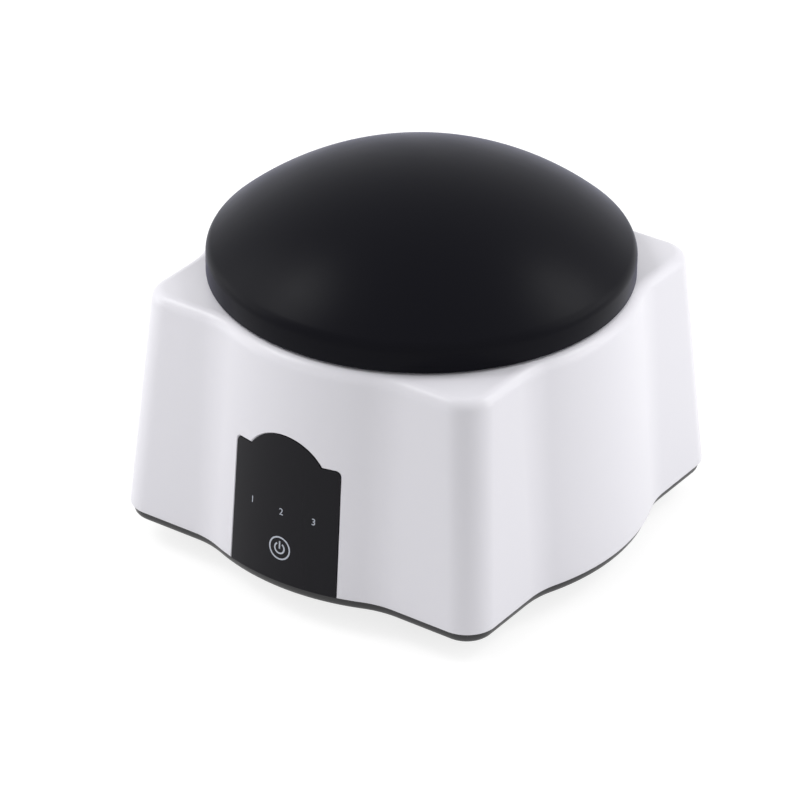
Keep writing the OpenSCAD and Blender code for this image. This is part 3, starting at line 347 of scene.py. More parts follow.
def moved(bm, matrix):
    bmesh.ops.transform(bm, matrix=matrix, verts=bm.verts)
    return bm


def joined(shapes):
    """Several shapes as one."""
    whole = bmesh.new()
    for bm in shapes:
        mesh = bpy.data.meshes.new("part")
        bm.to_mesh(mesh)
        bm.free()
        whole.from_mesh(mesh)
        bpy.data.meshes.remove(mesh)
    return whole


def trimmed(bm, cutters):
    """A shape with cutters taken out of it by exact booleans."""
    objects = []
    for shape in [bm, *cutters]:
        mesh = bpy.data.meshes.new("work")
        shape.to_mesh(mesh)
        shape.free()
        objects.append(bpy.data.objects.new("work", mesh))
        bpy.context.scene.collection.objects.link(objects[-1])
    for cutter in objects[1:]:
        step = objects[0].modifiers.new("cut", "BOOLEAN")
        step.operation = "DIFFERENCE"
        step.solver = "EXACT"
        step.object = cutter
    graph = bpy.context.evaluated_depsgraph_get()
    result = bmesh.new()
    result.from_mesh(objects[0].evaluated_get(graph).to_mesh())
    bmesh.ops.remove_doubles(result, verts=result.verts, dist=MERGE)
    bmesh.ops.dissolve_degenerate(result, dist=MERGE, edges=result.edges)
    for used in objects:
        mesh = used.data
        bpy.data.objects.remove(used)
        bpy.data.meshes.remove(mesh)
    return result


# %% [markdown]
# ## The case's outline
# Seen from above, the case is a square whose four sides bulge. Each bulge is
# an arc about the machine's middle, a hollow arc leads from it to the straight
# face, and a small arc rounds the corner. One function draws it at any inset,
# so the same lines serve the case, its inside and the base.

# %% Outline
case_low, case_high = box_mm("case_shell")
CASE_R, FLAT_HALF, CORNER_R, HOLLOW_R = 73.5, 66.5, 10.0, 28.0
CASE_Z0, COLLAR_Z1, COLLAR_H = case_low.z, case_high.z, 6.5
CASE_Z1 = COLLAR_Z1 - COLLAR_H
FOOT_H = 7.7
LEAN = 6.0
BULGE_STEPS, HOLLOW_STEPS, FACE_STEPS, CORNER_STEPS = 32, 12, 5, 10


def lean_at(z):
    """How far the walls have leant in at a height."""
    return LEAN * (z - CASE_Z0) / (CASE_Z1 - CASE_Z0)


def wall_r(z):
    return CASE_R - lean_at(z)


def outline_eighth(inset, lean):
    """From the middle of the +Y bulge to the corner."""
    half, bulge, hollow = FLAT_HALF - lean - inset, CASE_R - lean - inset, HOLLOW_R + lean + inset
    corner = max(CORNER_R - inset, 0.5)
    centre = Vector((math.sqrt((bulge + hollow) ** 2 - (half + hollow) ** 2), half + hollow))
    sweep = math.degrees(math.atan2(centre.x, centre.y))
    points = arc((0, 0), bulge, 90, 90 - sweep, BULGE_STEPS)
    points += arc(centre, hollow, 270 - sweep, 270, HOLLOW_STEPS)[1:]
    face = half - corner - centre.x
    points += [(centre.x + face * i / FACE_STEPS, half) for i in range(1, FACE_STEPS)]
    return points + arc((half - corner, half - corner), corner, 90, 45, CORNER_STEPS)


def outline(inset, lean=0.0):
    """The whole outline, moved inwards by inset and by the walls' lean."""
    first = outline_eighth(inset, lean)
    quarter = first + [(y, x) for x, y in reversed(first[1:-1])]
    turns = ((1, 0), (0, 1), (-1, 0), (0, -1))
    return [(x * c + y * s, y * c - x * s) for c, s in turns for x, y in quarter]


def round_ring(radius):
    """A circle with one point at the bearing of each outline point."""
    return [tuple(radius * v for v in Vector(p).normalized()) for p in outline(0)]


def line(bm, points, closed):
    """A line of edges through points, and the place of each vertex along it."""
    corners = [bm.verts.new(point) for point in points]
    edges = [bm.edges.new(pair) for pair in zip(corners, corners[1:] + corners[:1] * closed)]
    return edges, {vertex: i for i, vertex in enumerate(corners)}


def drawn_to(bm, edges, place, points):
    """Extrudes a line of edges so that each new vertex lands on the point of its own place."""
    grown = bmesh.ops.extrude_edge_only(bm, edges=edges)["geom"]
    after = {}
    for vertex in (g for g in grown if isinstance(g, bmesh.types.BMVert)):
        before = next(v for v in (e.other_vert(vertex) for e in vertex.link_edges) if v in place)
        after[vertex] = place[before]
        vertex.co = points[place[before]]
    fresh = [e for e in grown if isinstance(e, bmesh.types.BMEdge) and set(e.verts) <= set(after)]
    return fresh, after


def stack(rings, tyre=False):
    """A wall drawn from ring to ring, each with its height, closed by two caps or as a tyre."""
    bm = bmesh.new()
    heights = [[(x, y, z) for x, y in points] for points, z in rings]
    first, place = line(bm, heights[0], closed=True)
    edges = first
    for points in heights[1:] + heights[:1] * tyre:
        edges, place = drawn_to(bm, edges, place, points)
    if tyre:
        bmesh.ops.remove_doubles(bm, verts=bm.verts, dist=MERGE)
    else:
        for end in (first, edges):
            bmesh.ops.contextual_create(bm, geom=end)
    bmesh.ops.recalc_face_normals(bm, faces=bm.faces)
    return bm


print("outline:", len(outline(0)), "points; the case spans", CASE_Z0, "to", CASE_Z1)

# %% [markdown]
# ## The panel's patch
# The control panel lies in a sunk seat on the front bulge. Seen from the
# front its outline is straight at the sides, rounded at the shoulders and
# arched on top. Seat, panel and print all bend with the wall, so one helper
# takes a flat grid and lays it on the wall's cone at any depth.

# %% Patch on the front bulge
PANEL_HALF, PANEL_TAPER, PANEL_SHOULDER, PANEL_CORNER = 19.35, 0.6, CASE_Z0 + 41.65, 1.8
ARCH_HALF, ARCH_RISE = 12.7, 6.8
PATCH_ROWS = 12


def on_wall(x, z, depth):
    """The point of the front bulge at x and z, depth inside its surface."""
    return Vector((x, -math.sqrt((wall_r(z) - depth) ** 2 - x * x), z))


def panel_top(grow):
    """Points of the panel's top line from -X to +X, grown outwards."""
    half, shoulder, reach = PANEL_HALF - PANEL_TAPER + grow, PANEL_SHOULDER + grow, ARCH_HALF + grow
    arch_r = (reach ** 2 + ARCH_RISE ** 2) / (2 * ARCH_RISE)
    sweep = math.degrees(math.asin(reach / arch_r))
    middle = (half - PANEL_CORNER, shoulder - PANEL_CORNER)
    right_side = arc(middle, PANEL_CORNER, 0, 90, 8)
    steps = [(middle[0] + (reach - middle[0]) * i / 4, shoulder) for i in (1, 2, 3)]
    arch = arc((0, shoulder + ARCH_RISE - arch_r), arch_r, 90 - sweep, 90, 16)
    right_half = right_side + steps + arch
    return [(-x, z) for x, z in right_half[:-1]] + right_half[::-1]


def spread_down(x, z, top_z):
    """The panel's sides lean out a little towards its foot."""
    return x * (1 + PANEL_TAPER / PANEL_HALF * (top_z - z) / (PANEL_SHOULDER - CASE_Z0))


def patch(front, rear, foot):
    """A block on the bulge between two faces, each given as (growth, depth)."""
    columns = len(panel_top(0))
    bm = bmesh.new()
    bmesh.ops.create_grid(bm, x_segments=columns - 1, y_segments=PATCH_ROWS, size=1)
    place = {v: (round((v.co.x + 1) / 2 * (columns - 1)), (v.co.y + 1) / 2) for v in bm.verts}
    first = list(bm.verts)
    copied = bmesh.ops.extrude_face_region(bm, geom=bm.faces[:])
    second = [v for v in copied["geom"] if isinstance(v, bmesh.types.BMVert)]
    key = {(round(v.co.x, 5), round(v.co.y, 5)): place[v] for v in first}
    for vertices, (grow, depth) in ((first, rear), (second, front)):
        top = panel_top(grow)
        for v in vertices:
            column, share = key[(round(v.co.x, 5), round(v.co.y, 5))]
            x, top_z = top[column]
            z = foot + (top_z - foot) * share
            v.co = on_wall(spread_down(x, z, top_z), z, depth)
    bmesh.ops.recalc_face_normals(bm, faces=bm.faces)
    return bm


print("patch:", len(panel_top(0)), "columns")

# %% [markdown]
# ## The white case
# A stack of rings goes up the leaning walls, over the 4 mm round of the top
# edge and up the collar that carries the lid, then down the inside. Cutters
# sink the panel's seat, with a slope round it that catches light, and the
# round face of the power inlet at the back.

# %% White case
TOP_EDGE_R, CASE_WALL, LOWER_EDGE = 4.0, 2.8, 0.4
COLLAR_R, BORE_R, COLLAR_EDGE = 61.9, 57.1, 0.6
PANEL_T, SEAT_ROOM, SEAT_DEPTH, SEAT_SLOPE = 0.95, 0.1, 1.0, 0.35
INLET_Z, INLET_SINK, INLET_SEAT_R, INLET_BORE_R = 24.0, 1.5, 7.0, 4.05
INLET_FACE_Y = wall_r(INLET_Z) - INLET_SINK
WALL_STEPS = 34
# How far cutters start outside or below what they cut, and how long the inlet's two are.
CUT_ROOM, SEAT_REACH, INLET_SEAT_CUT, INLET_BORE_CUT = 2, 3, 6, 20


def case_rings():
    rings = [(outline(CASE_WALL), CASE_Z0)]
    for x, z in arc((LOWER_EDGE, LOWER_EDGE), LOWER_EDGE, 270, 180, 4):
        rings.append((outline(x, lean_at(CASE_Z0 + z)), CASE_Z0 + z))
    low, top = CASE_Z0 + LOWER_EDGE, CASE_Z1 - TOP_EDGE_R
    heights = [low + (top - low) * i / WALL_STEPS for i in range(1, WALL_STEPS + 1)]
    rings += [(outline(0, lean_at(z)), z) for z in heights]
    rings += [(outline(x, lean_at(top)), top + z)
              for x, z in arc((TOP_EDGE_R, 0), TOP_EDGE_R, 180, 90, 12)[1:]]
    rings += [(round_ring(r), z) for r, z in (
        arc((COLLAR_R + COLLAR_EDGE, CASE_Z1 + COLLAR_EDGE), COLLAR_EDGE, 270, 180, 4)
        + arc((COLLAR_R - COLLAR_EDGE, COLLAR_Z1 - COLLAR_EDGE), COLLAR_EDGE, 0, 90, 4)
        + arc((BORE_R + COLLAR_EDGE, COLLAR_Z1 - COLLAR_EDGE), COLLAR_EDGE, 90, 180, 4))]
    under = CASE_Z1 - CASE_WALL
    return rings + [(round_ring(BORE_R), under), (outline(CASE_WALL, lean_at(under)), under)]


def facing_back(bm, y, z):
    """Lays a shape turned about +Z so that its axis points along +Y."""
    return moved(bm, Matrix.Translation((0, y, z)) @ Matrix.Rotation(math.radians(-90), 4, "X"))


def plug(radius, length, steps=SMALL):
    return turned([(0, 0), (radius, 0), (radius, length), (0, length)], steps, closed=False)


seat_cutters = [
    patch((SEAT_ROOM, -SEAT_REACH), (SEAT_ROOM, SEAT_DEPTH), CASE_Z0 - CUT_ROOM),
    patch((SEAT_ROOM + SEAT_SLOPE + 1, -1), (SEAT_ROOM, SEAT_SLOPE), CASE_Z0 - CUT_ROOM),
    facing_back(plug(INLET_SEAT_R, INLET_SEAT_CUT), INLET_FACE_Y, INLET_Z),
    facing_back(plug(INLET_BORE_R, INLET_BORE_CUT), INLET_FACE_Y - INLET_BORE_CUT / 2, INLET_Z),
]
make_piece(trimmed(stack(case_rings(), tyre=True), seat_cutters), "white_case", "case",
           "white_gloss", ["case_shell"])

# %% [markdown]
# ## The black base
# Only a dark edge of the base shows below the case, drawn in a little, with a
# groove above it that makes the joint's shadow line. Underneath are the vent
# slots and four bosses, whose rubber pads the machine stands on.

# %% Base
BASE_INSET, JOINT_LINE, TONGUE, TONGUE_T, TONGUE_H, BASE_T = 1.0, 0.4, 3.1, 2.0, 3.0, 2.5
FOOT_XY, FOOT_R, WELL_R, PAD_R, PAD_T, PAD_SINK = 45.0, 7.0, 3.2, 6.2, 3.7, 1.2
VENT_L, VENT_W, VENT_PITCH = 34.0, 2.2, 6.0
GROOVE_IN, WELL_H, PAD_ROOM, BOSS_LAP, FOOT_EDGE = 0.6, 1.3, 0.1, 0.5, 0.2


def base_rings():
    shoulder = CASE_Z0 - JOINT_LINE
    edge = [(2.1, 0), (1.6, 0.15), (1.1, 0.45), (0.65, 0.85), (0.35, 1.3), (0.15, 1.9), (0, 2.7)]
    rings = [(outline(BASE_INSET + x), FOOT_H + z) for x, z in edge]
    lean = lean_at(CASE_Z0 + TONGUE_H)
    return rings + [
        (outline(BASE_INSET), shoulder),
        (outline(BASE_INSET + GROOVE_IN), shoulder),
        (outline(BASE_INSET + GROOVE_IN), CASE_Z0),
        (outline(TONGUE), CASE_Z0),
        (outline(TONGUE, lean), CASE_Z0 + TONGUE_H),
        (outline(TONGUE + TONGUE_T, lean), CASE_Z0 + TONGUE_H),
        (outline(TONGUE + TONGUE_T), FOOT_H + BASE_T),
    ]


def vent(x):
    """A slot with round ends, long along Y."""
    half = VENT_L / 2 - VENT_W / 2
    ends = arc((0, half), VENT_W / 2, 0, 180, 10) + arc((0, -half), VENT_W / 2, 180, 360, 10)
    levels = (FOOT_H - CUT_ROOM, FOOT_H + BASE_T + CUT_ROOM)
    return stack([([(x + u, v) for u, v in ends], z) for z in levels])


def at_feet(make):
    """A shape for each foot, in place."""
    return [moved(make(), Matrix.Translation((sx * FOOT_XY, sy * FOOT_XY, 0)))
            for sx in (-1, 1) for sy in (-1, 1)]


def screw_well():
    top = FOOT_H + WELL_H
    return turned([(0, 0), (WELL_R, 0), (WELL_R, top), (0, top)], SMALL, False)


def foot_boss():
    low, seat, top = PAD_T - PAD_SINK, PAD_R + PAD_ROOM, FOOT_H + BOSS_LAP
    return ease(turned([(WELL_R, top), (WELL_R, PAD_T), (seat, PAD_T), (seat, low),
                        (FOOT_R, low), (FOOT_R, top)], MIDDLE), FOOT_EDGE)


def rubber_pad():
    """A pad with a rounded rim and a shallow ring on its face."""
    return ease(turned([(0, 0.3), (2.2, 0.3), (2.6, 0), (5.5, 0), (PAD_R, 0.8), (PAD_R, PAD_T),
                        (0, PAD_T)], MIDDLE, closed=False), FOOT_EDGE)


vents = [vent(VENT_PITCH * k) for k in range(-3, 4)]
base = trimmed(stack(base_rings()), vents + at_feet(screw_well))
print("base volume:", round(base.calc_volume()), "mm3")
make_piece(joined([base, *at_feet(foot_boss)]), "black_base", "case", "black_base", ["base_plate"])
make_piece(joined(at_feet(rubber_pad)), "rubber_pads", "case", "black_rubber", ["rubber_feet"])

# %% [markdown]
# ## Control panel and power key
# The panel is a smooth black plate that follows the bulge, with a hole for the
# key. The key is a turned stem whose face is bent like the wall, so that it
# lies flush with the panel round it.

# %% Panel and key
key_low, key_high = box_mm("power_key")
KEY_Z, KEY_HOLE_ROOM = (key_low.z + key_high.z) / 2, 0.1
KEY_R, KEY_FLANGE_R, KEY_SEAT, KEY_STEM_R = 3.9, 5.6, 2.3, 2.35
KEY_FACE = wall_r(KEY_Z)
KEY_EDGE, KEY_CUT, KEY_CUT_OUT = 0.15, 12, 4


def bent(bm, x0, z0, fade=1.5):
    """Lays a shape drawn round +Z on the bulge: its +Z points in, and deep parts stay flat."""
    for v in bm.verts:
        x, z, depth = x0 + v.co.x, z0 + v.co.y, v.co.z
        sag = (on_wall(x, z, 0).y + wall_r(z0)) * max(0.0, 1 - max(depth, 0) / fade)
        v.co = Vector((x, depth - wall_r(z0) + sag, z))
    bmesh.ops.recalc_face_normals(bm, faces=bm.faces)
    return bm


def key_body():
    face = [((KEY_R - KEY_EDGE) * i / 8, 0) for i in range(8)]
    edge = arc((KEY_R - KEY_EDGE, KEY_EDGE), KEY_EDGE, 270, 360, 3)
    flange, stem = KEY_SEAT + 1, key_high.y + KEY_FACE
    rest = [(KEY_R, KEY_SEAT), (KEY_FLANGE_R, KEY_SEAT), (KEY_FLANGE_R, flange),
            (KEY_STEM_R, flange), (KEY_STEM_R, stem), (0, stem)]
    return turned(face + edge + rest, MIDDLE, closed=False)


key_cutter = plug(KEY_R + KEY_HOLE_ROOM, KEY_CUT, MIDDLE)
panel = trimmed(patch((0, 0), (0, PANEL_T), CASE_Z0 + 0.1),
                [facing_back(key_cutter, -KEY_FACE - KEY_CUT_OUT, KEY_Z)])
make_piece(panel, "panel_film", "case", "panel_black", ["control_panel"])
make_piece(bent(key_body(), 0, KEY_Z), "round_key", "key", "panel_black", ["power_key"])

# %% [markdown]
# The print is pale ink, a few hundredths of a millimetre proud of the film: a
# ring and the usual power sign on the key, and a plain number at each of the
# three lights. Flat strips are extruded and then bent with the wall.

# %% Print on the panel
INK_T, SIGN_LINE, SIGN_R, SIGN_GAP = 0.03, 0.5, 1.95, 32.0
NUMBER_Z, NUMBER_STEP, NUMBER_H = 35.0, 11.2, 2.2
# Size of the font for a digit of unit height, the ring's inset, the bar's foot and length.
FONT_SHARE, RING_INSET, BAR_FOOT, BAR_L, BAR_STEPS = 1.4, 0.05, -0.2, 2.5, 5


def strip(points, width, closed=False):
    """A flat line of ink along points, in the plane z = 0."""
    bm = bmesh.new()
    rails = ([], [])
    count = len(points)
    for i, point in enumerate(points):
        before = points[i - 1] if closed or i else point
        after = points[(i + 1) % count] if closed or i < count - 1 else point
        way = (Vector(after) - Vector(before)).normalized() * (width / 2)
        for rail, side in zip(rails, (-1, 1)):
            rail.append((point[0] - side * way.y, point[1] + side * way.x, 0))
    edges, place = line(bm, rails[0], closed)
    drawn_to(bm, edges, place, rails[1])
    return bm


def inked(flat, x0, z0):
    """Thickens a flat shape outwards and bends it onto the wall."""
    front = bmesh.ops.extrude_face_region(flat, geom=flat.faces[:])
    bmesh.ops.translate(flat, vec=(0, 0, -INK_T),
                        verts=[v for v in front["geom"] if isinstance(v, bmesh.types.BMVert)])
    return bent(flat, x0, z0)


def number(digit):
    """A digit of the plain built-in font, as a flat mesh."""
    curve = bpy.data.curves.new("number", "FONT")
    curve.body = str(digit)
    curve.size = NUMBER_H * FONT_SHARE
    curve.align_x, curve.align_y = "CENTER", "CENTER"
    holder = bpy.data.objects.new("number", curve)
    bpy.context.scene.collection.objects.link(holder)
    flat = bmesh.new()
    flat.from_mesh(holder.evaluated_get(bpy.context.evaluated_depsgraph_get()).to_mesh())
    bpy.data.objects.remove(holder)
    bpy.data.curves.remove(curve)
    bmesh.ops.remove_doubles(flat, verts=flat.verts, dist=0.001)
    return flat


sign = [
    strip(arc((0, 0), KEY_R - RING_INSET - SIGN_LINE / 2, 0, 355, 71), SIGN_LINE, closed=True),
    strip(arc((0, 0), SIGN_R - SIGN_LINE / 2, 90 + SIGN_GAP, 450 - SIGN_GAP, 40), SIGN_LINE),
    strip([(0, BAR_FOOT + BAR_L * i / BAR_STEPS) for i in range(BAR_STEPS + 1)], SIGN_LINE),
]
make_piece(joined([inked(flat, 0, KEY_Z) for flat in sign]), "power_sign", "key", None,
           material="print_grey")
numbers = [inked(number(k + 2), k * NUMBER_STEP, NUMBER_Z) for k in (-1, 0, 1)]
make_piece(joined(numbers), "light_numbers", "case", None, material="print_grey")

# %% [markdown]
# ## Power inlet
# A round socket with a flange sits in the sunk face at the back, with the
# contact pin in its middle.

# %% Inlet
SOCKET_R, SOCKET_DEPTH, BARREL_R, BARREL_L, FLANGE_R, FLANGE_T = 2.8, 9.5, 3.95, 15.0, 5.5, 1.2
SOCKET_EDGE, FLANGE_ROUND = 0.4, 0.5
PIN_R, PIN_SHANK_R, PIN_SINK, PIN_TAB, PIN_ROOM, PIN_ROUND = 1.05, 1.4, 1.5, 4.0, 0.05, 0.6
inlet_mouth = BARREL_L + FLANGE_T
inlet_floor = inlet_mouth - SOCKET_DEPTH
socket_profile = [
    (PIN_SHANK_R + PIN_ROOM, 0), (BARREL_R, 0), (BARREL_R, BARREL_L), (FLANGE_R, BARREL_L),
    *arc((FLANGE_R - FLANGE_ROUND, inlet_mouth - FLANGE_ROUND), FLANGE_ROUND, 0, 90, 5),
    (SOCKET_R + SOCKET_EDGE, inlet_mouth), (SOCKET_R, inlet_mouth - SOCKET_EDGE),
    (SOCKET_R, inlet_floor), (PIN_SHANK_R + PIN_ROOM, inlet_floor),
]
pin_tip = inlet_floor + SOCKET_DEPTH - PIN_SINK
pin_profile = [(0, -PIN_TAB), (PIN_SHANK_R, -PIN_TAB), (PIN_SHANK_R, inlet_floor),
               (PIN_R, inlet_floor),
               *arc((PIN_R - PIN_ROUND, pin_tip - PIN_ROUND), PIN_ROUND, 0, 90, 6), (0, pin_tip)]
barrel_y0 = INLET_FACE_Y - BARREL_L
make_piece(facing_back(turned(socket_profile, MIDDLE), barrel_y0, INLET_Z), "power_socket", "case",
           "black_nylon", ["inlet_socket"])
make_piece(facing_back(turned(pin_profile, TINY, closed=False), barrel_y0, INLET_Z), "power_pin",
           "case", "contact_nickel", ["inlet_pin"])

# %% [markdown]
# ## Steam bowl, heater and tray
# With lid and finger plate off, one looks into a white bowl. In its floor lies
# the heated face, in four bosses sit the heater's screws, and on the heated
# face stands a thin pressed tray with two ears to lift it by.

# %% Bowl, heater and tray
BOWL_Z1, BOWL_FLOOR_Z, BOWL_FLOOR_T, BOWL_R, BOWL_TAPER, BOWL_WALL = 90.0, 34.0, 2.0, 56.7, 6.0, 1.8
HEATER_R, HEATER_GAP, HEATER_SCREW_OUT, HEATER_TOP_Z, SEAT_H = 31.0, 0.5, 9.0, 34.5, 1.0
TRAY_R, TRAY_H, TRAY_WALL, TRAY_RIM, TRAY_EAR_R = 29.5, 10.0, 0.8, 1.2, 5.0
BOWL_LEVELS, BOWL_CORNER, BOWL_CORNER_OUT = (50, 65, 80), 3.0, 0.3
BOWL_FOOT_EDGE, BOWL_HOLE_EDGE, BOWL_RIM_OUT, BOWL_RIM_IN = 1, 0.5, 0.5, 0.7
BOSS_R, BOSS_H, BOSS_EDGE, BOSS_SINK = 3.4, 4.5, 0.3, 0.5
SEAT_EDGE, SEAT_W, FLANGE_H, FACE_RINGS = 0.25, 1, 3, (20, 10, 0)
TRAY_CORNER, TRAY_RING, TRAY_LIP_IN, TRAY_EAR_OUT, TRAY_EAR_EDGE = 2.2, 15, 0.5, 2, 0.25
plate_low, plate_high = box_mm("heater_plate")


def bowl_r_at(z):
    return BOWL_R - BOWL_TAPER * (BOWL_Z1 - z) / (BOWL_Z1 - BOWL_FLOOR_Z)


def bowl_profile():
    low, hole = BOWL_FLOOR_Z - BOWL_FLOOR_T, HEATER_R + HEATER_GAP
    inner = bowl_r_at(BOWL_FLOOR_Z) - BOWL_WALL
    outer = bowl_r_at(BOWL_FLOOR_Z)
    return (
        [(hole, low), (outer - BOWL_FOOT_EDGE, low), (outer, low + BOWL_FOOT_EDGE)]
        + [(bowl_r_at(z), z) for z in BOWL_LEVELS]
        + arc((BOWL_R - BOWL_RIM_OUT, BOWL_Z1 - BOWL_RIM_OUT), BOWL_RIM_OUT, 0, 90, 5)
        + arc((BOWL_R - BOWL_WALL + BOWL_RIM_IN, BOWL_Z1 - BOWL_RIM_IN), BOWL_RIM_IN, 90, 180, 6)
        + [(bowl_r_at(z) - BOWL_WALL, z) for z in reversed(BOWL_LEVELS)]
        + arc((inner - BOWL_CORNER + BOWL_CORNER_OUT, BOWL_FLOOR_Z + BOWL_CORNER), BOWL_CORNER,
              360, 270, 8)
        + [(hole + BOWL_HOLE_EDGE, BOWL_FLOOR_Z), (hole, BOWL_FLOOR_Z - BOWL_HOLE_EDGE)]
    )


def screw_boss(turn):
    circle = HEATER_R + HEATER_SCREW_OUT
    low = BOWL_FLOOR_Z - BOSS_SINK
    top = low + BOSS_H
    boss = turned([(0, low), (BOSS_R, low), (BOSS_R, top - BOSS_EDGE), (BOSS_R - BOSS_EDGE, top),
                   (0, top)], TINY, False)
    spin = Matrix.Rotation(math.radians(45 + 90 * turn), 4, "Z")
    return moved(boss, spin @ Matrix.Translation((circle, 0, 0)))


def heater_profile():
    flange_z0, top = plate_low.z, HEATER_TOP_Z
    rim, side = top + SEAT_H, HEATER_R - SEAT_W
    ring = [(HEATER_R, rim - SEAT_EDGE), (HEATER_R - SEAT_EDGE, rim), (side + SEAT_EDGE, rim),
            (side, rim - SEAT_EDGE), (side, top)]
    return ([(0, flange_z0), (plate_high.x, flange_z0), (plate_high.x, flange_z0 + FLANGE_H),
             (HEATER_R, flange_z0 + FLANGE_H)] + ring + [(r, top) for r in FACE_RINGS])


def tray_profile():
    z0, z1 = HEATER_TOP_Z, HEATER_TOP_Z + TRAY_H
    turn = (TRAY_R - TRAY_CORNER, z0 + TRAY_CORNER)
    outer = arc(turn, TRAY_CORNER, 270, 360, 8)
    inner = arc(turn, TRAY_CORNER - TRAY_WALL, 360, 270, 8)
    lip = arc((TRAY_R + TRAY_RIM - TRAY_WALL / 2, z1 - TRAY_WALL / 2), TRAY_WALL / 2, 270, 450, 8)
    fold = arc((TRAY_R - TRAY_WALL + TRAY_LIP_IN, z1 - TRAY_LIP_IN), TRAY_LIP_IN, 90, 180, 5)
    return ([(0, z0), (TRAY_RING, z0)] + outer + [(TRAY_R, z1 - TRAY_WALL)] + lip + fold + inner
            + [(TRAY_RING, z0 + TRAY_WALL), (0, z0 + TRAY_WALL)])


def tray_ear(side):
    """A half-round lug in the plane of the tray's rim."""
    z1 = HEATER_TOP_Z + TRAY_H
    low = z1 - TRAY_WALL
    ear = turned([(0, low), (TRAY_EAR_R, low), (TRAY_EAR_R, z1), (0, z1)], SMALL, closed=False)
    ear = ease(ear, TRAY_EAR_EDGE)
    ear = moved(ear, Matrix.Translation((side * (TRAY_R + TRAY_EAR_OUT), 0, 0)))
    under, over = low - CUT_ROOM, z1 + CUT_ROOM
    well = turned([(0, under), (TRAY_R, under), (TRAY_R, over), (0, over)], WIDE, False)
    return trimmed(ear, [well])


bosses = [screw_boss(k) for k in range(4)]
make_piece(joined([turned(bowl_profile(), LARGE), *bosses]), "inner_bowl", "case", "bowl_white",
           ["steam_bowl"])
make_piece(turned(heater_profile(), LARGE, closed=False), "heated_face", "case", "cast_aluminium",
           ["heater_plate"])
make_piece(joined([turned(tray_profile(), LARGE, closed=False), tray_ear(-1), tray_ear(1)]),
           "pressed_tray", "tray", "tray_aluminium", ["solvent_tray"])

# %% [markdown]
# ## Finger plate and cuffs
# A shallow black dome with five openings and a grip in the middle. Each
# opening stands square to the dome, with a flat seat round it, and carries a
# soft cuff: a funnel that closes round the finger.

# %% Finger plate
RIM_R, PLATE_T, PLATE_RISE, SKIRT_H, SKIRT_T = 56.7, 2.2, 8.0, 8.0, 1.6
SKIRT_R = bowl_r_at(BOWL_Z1 - SKIRT_H) - BOWL_WALL - 0.4
DECK_R = (RIM_R ** 2 + PLATE_RISE ** 2) / (2 * PLATE_RISE)
DECK_APEX = BOWL_Z1 + PLATE_T + PLATE_RISE
DECK_Z = DECK_APEX - DECK_R
FINGER_CIRCLE, FINGER_STEP, FINGER_LAND = 36.0, 54.0, 3.85
SEAT_RIM, SEAT_TOP, SEAT_T = 3.0, 0.2, 3.0
SEAT_LOW_EDGE, SEAT_TOP_EDGE, SEAT_SIDE_EDGE = 0.3, 0.2, 0.1
FINGER_CUT_ROOM, FINGER_CUT = 1, 20
FINGER_R = FINGER_CIRCLE * math.sin(math.radians(FINGER_STEP / 2)) - FINGER_LAND
FINGER_TILT = math.asin(FINGER_CIRCLE / DECK_R)
GRIP_R, GRIP_H, GRIP_FOOT_R, GRIP_ROUND = 7.0, 5.0, 9.0, 0.9
# Radius and height over the dome's top, up the waist of the grip.
GRIP_WAIST = ((6.2, 0.5), (5.6, 1.3), (5.5, 2.2), (5.8, 2.8), (6.4, 3.1))
DOME_STEPS, PLATE_EDGE, SKIRT_EDGE = 40, 0.6, 0.3


def deck_z(r, depth=0.0):
    return DECK_Z + math.sqrt((DECK_R - depth) ** 2 - r * r)


def deck_profile():
    inner = SKIRT_R - SKIRT_T
    rim = arc((RIM_R - PLATE_EDGE, BOWL_Z1 + PLATE_T - PLATE_EDGE), PLATE_EDGE, 0, 80, 5)
    top = DECK_APEX + GRIP_H
    grip = (
        [(GRIP_FOOT_R, deck_z(GRIP_FOOT_R)), (7.2, deck_z(7.2) + 0.1)]
        + [(r, DECK_APEX + rise) for r, rise in GRIP_WAIST]
        + arc((GRIP_R - GRIP_ROUND, top - GRIP_ROUND), GRIP_ROUND, -70, 90, 10)
        + [(4.5, top - 0.15), (2, top - 0.35), (0, top - 0.4)]
    )
    radii = [RIM_R - (RIM_R - GRIP_FOOT_R) * i / DOME_STEPS for i in range(1, DOME_STEPS)]
    dome = [(r, deck_z(r)) for r in radii]
    inner_radii = [inner * i / DOME_STEPS for i in range(DOME_STEPS + 1)]
    under = [(r, deck_z(r, PLATE_T)) for r in inner_radii]
    foot = BOWL_Z1 - SKIRT_H
    return ([(RIM_R, BOWL_Z1)] + rim + dome + grip + under
            + [(inner, foot + SKIRT_EDGE), (inner + SKIRT_EDGE, foot), (SKIRT_R - SKIRT_EDGE, foot),
               (SKIRT_R, foot + SKIRT_EDGE), (SKIRT_R, BOWL_Z1)])


def at_finger(bm, k):
    """Moves a shape to finger opening k: its z = 0 on the dome, its +Z out of it."""
    turn = Matrix.Rotation(math.radians(90 + (k - 3) * FINGER_STEP), 4, "Z")
    tip = Matrix.Rotation(FINGER_TILT, 4, "Y")
    place = turn @ Matrix.Translation((0, 0, DECK_Z)) @ tip
    return moved(bm, place @ Matrix.Translation((0, 0, DECK_R)))


def finger_seat():
    low, outer = SEAT_TOP - SEAT_T, FINGER_R + SEAT_RIM
    foot = [(FINGER_R, low + SEAT_LOW_EDGE), (FINGER_R + SEAT_LOW_EDGE, low), (outer, low)]
    face = [(outer, SEAT_TOP - SEAT_SIDE_EDGE), (outer - SEAT_TOP_EDGE, SEAT_TOP),
            (FINGER_R + SEAT_TOP_EDGE, SEAT_TOP), (FINGER_R, SEAT_TOP - SEAT_TOP_EDGE)]
    return turned(foot + face, MIDDLE)


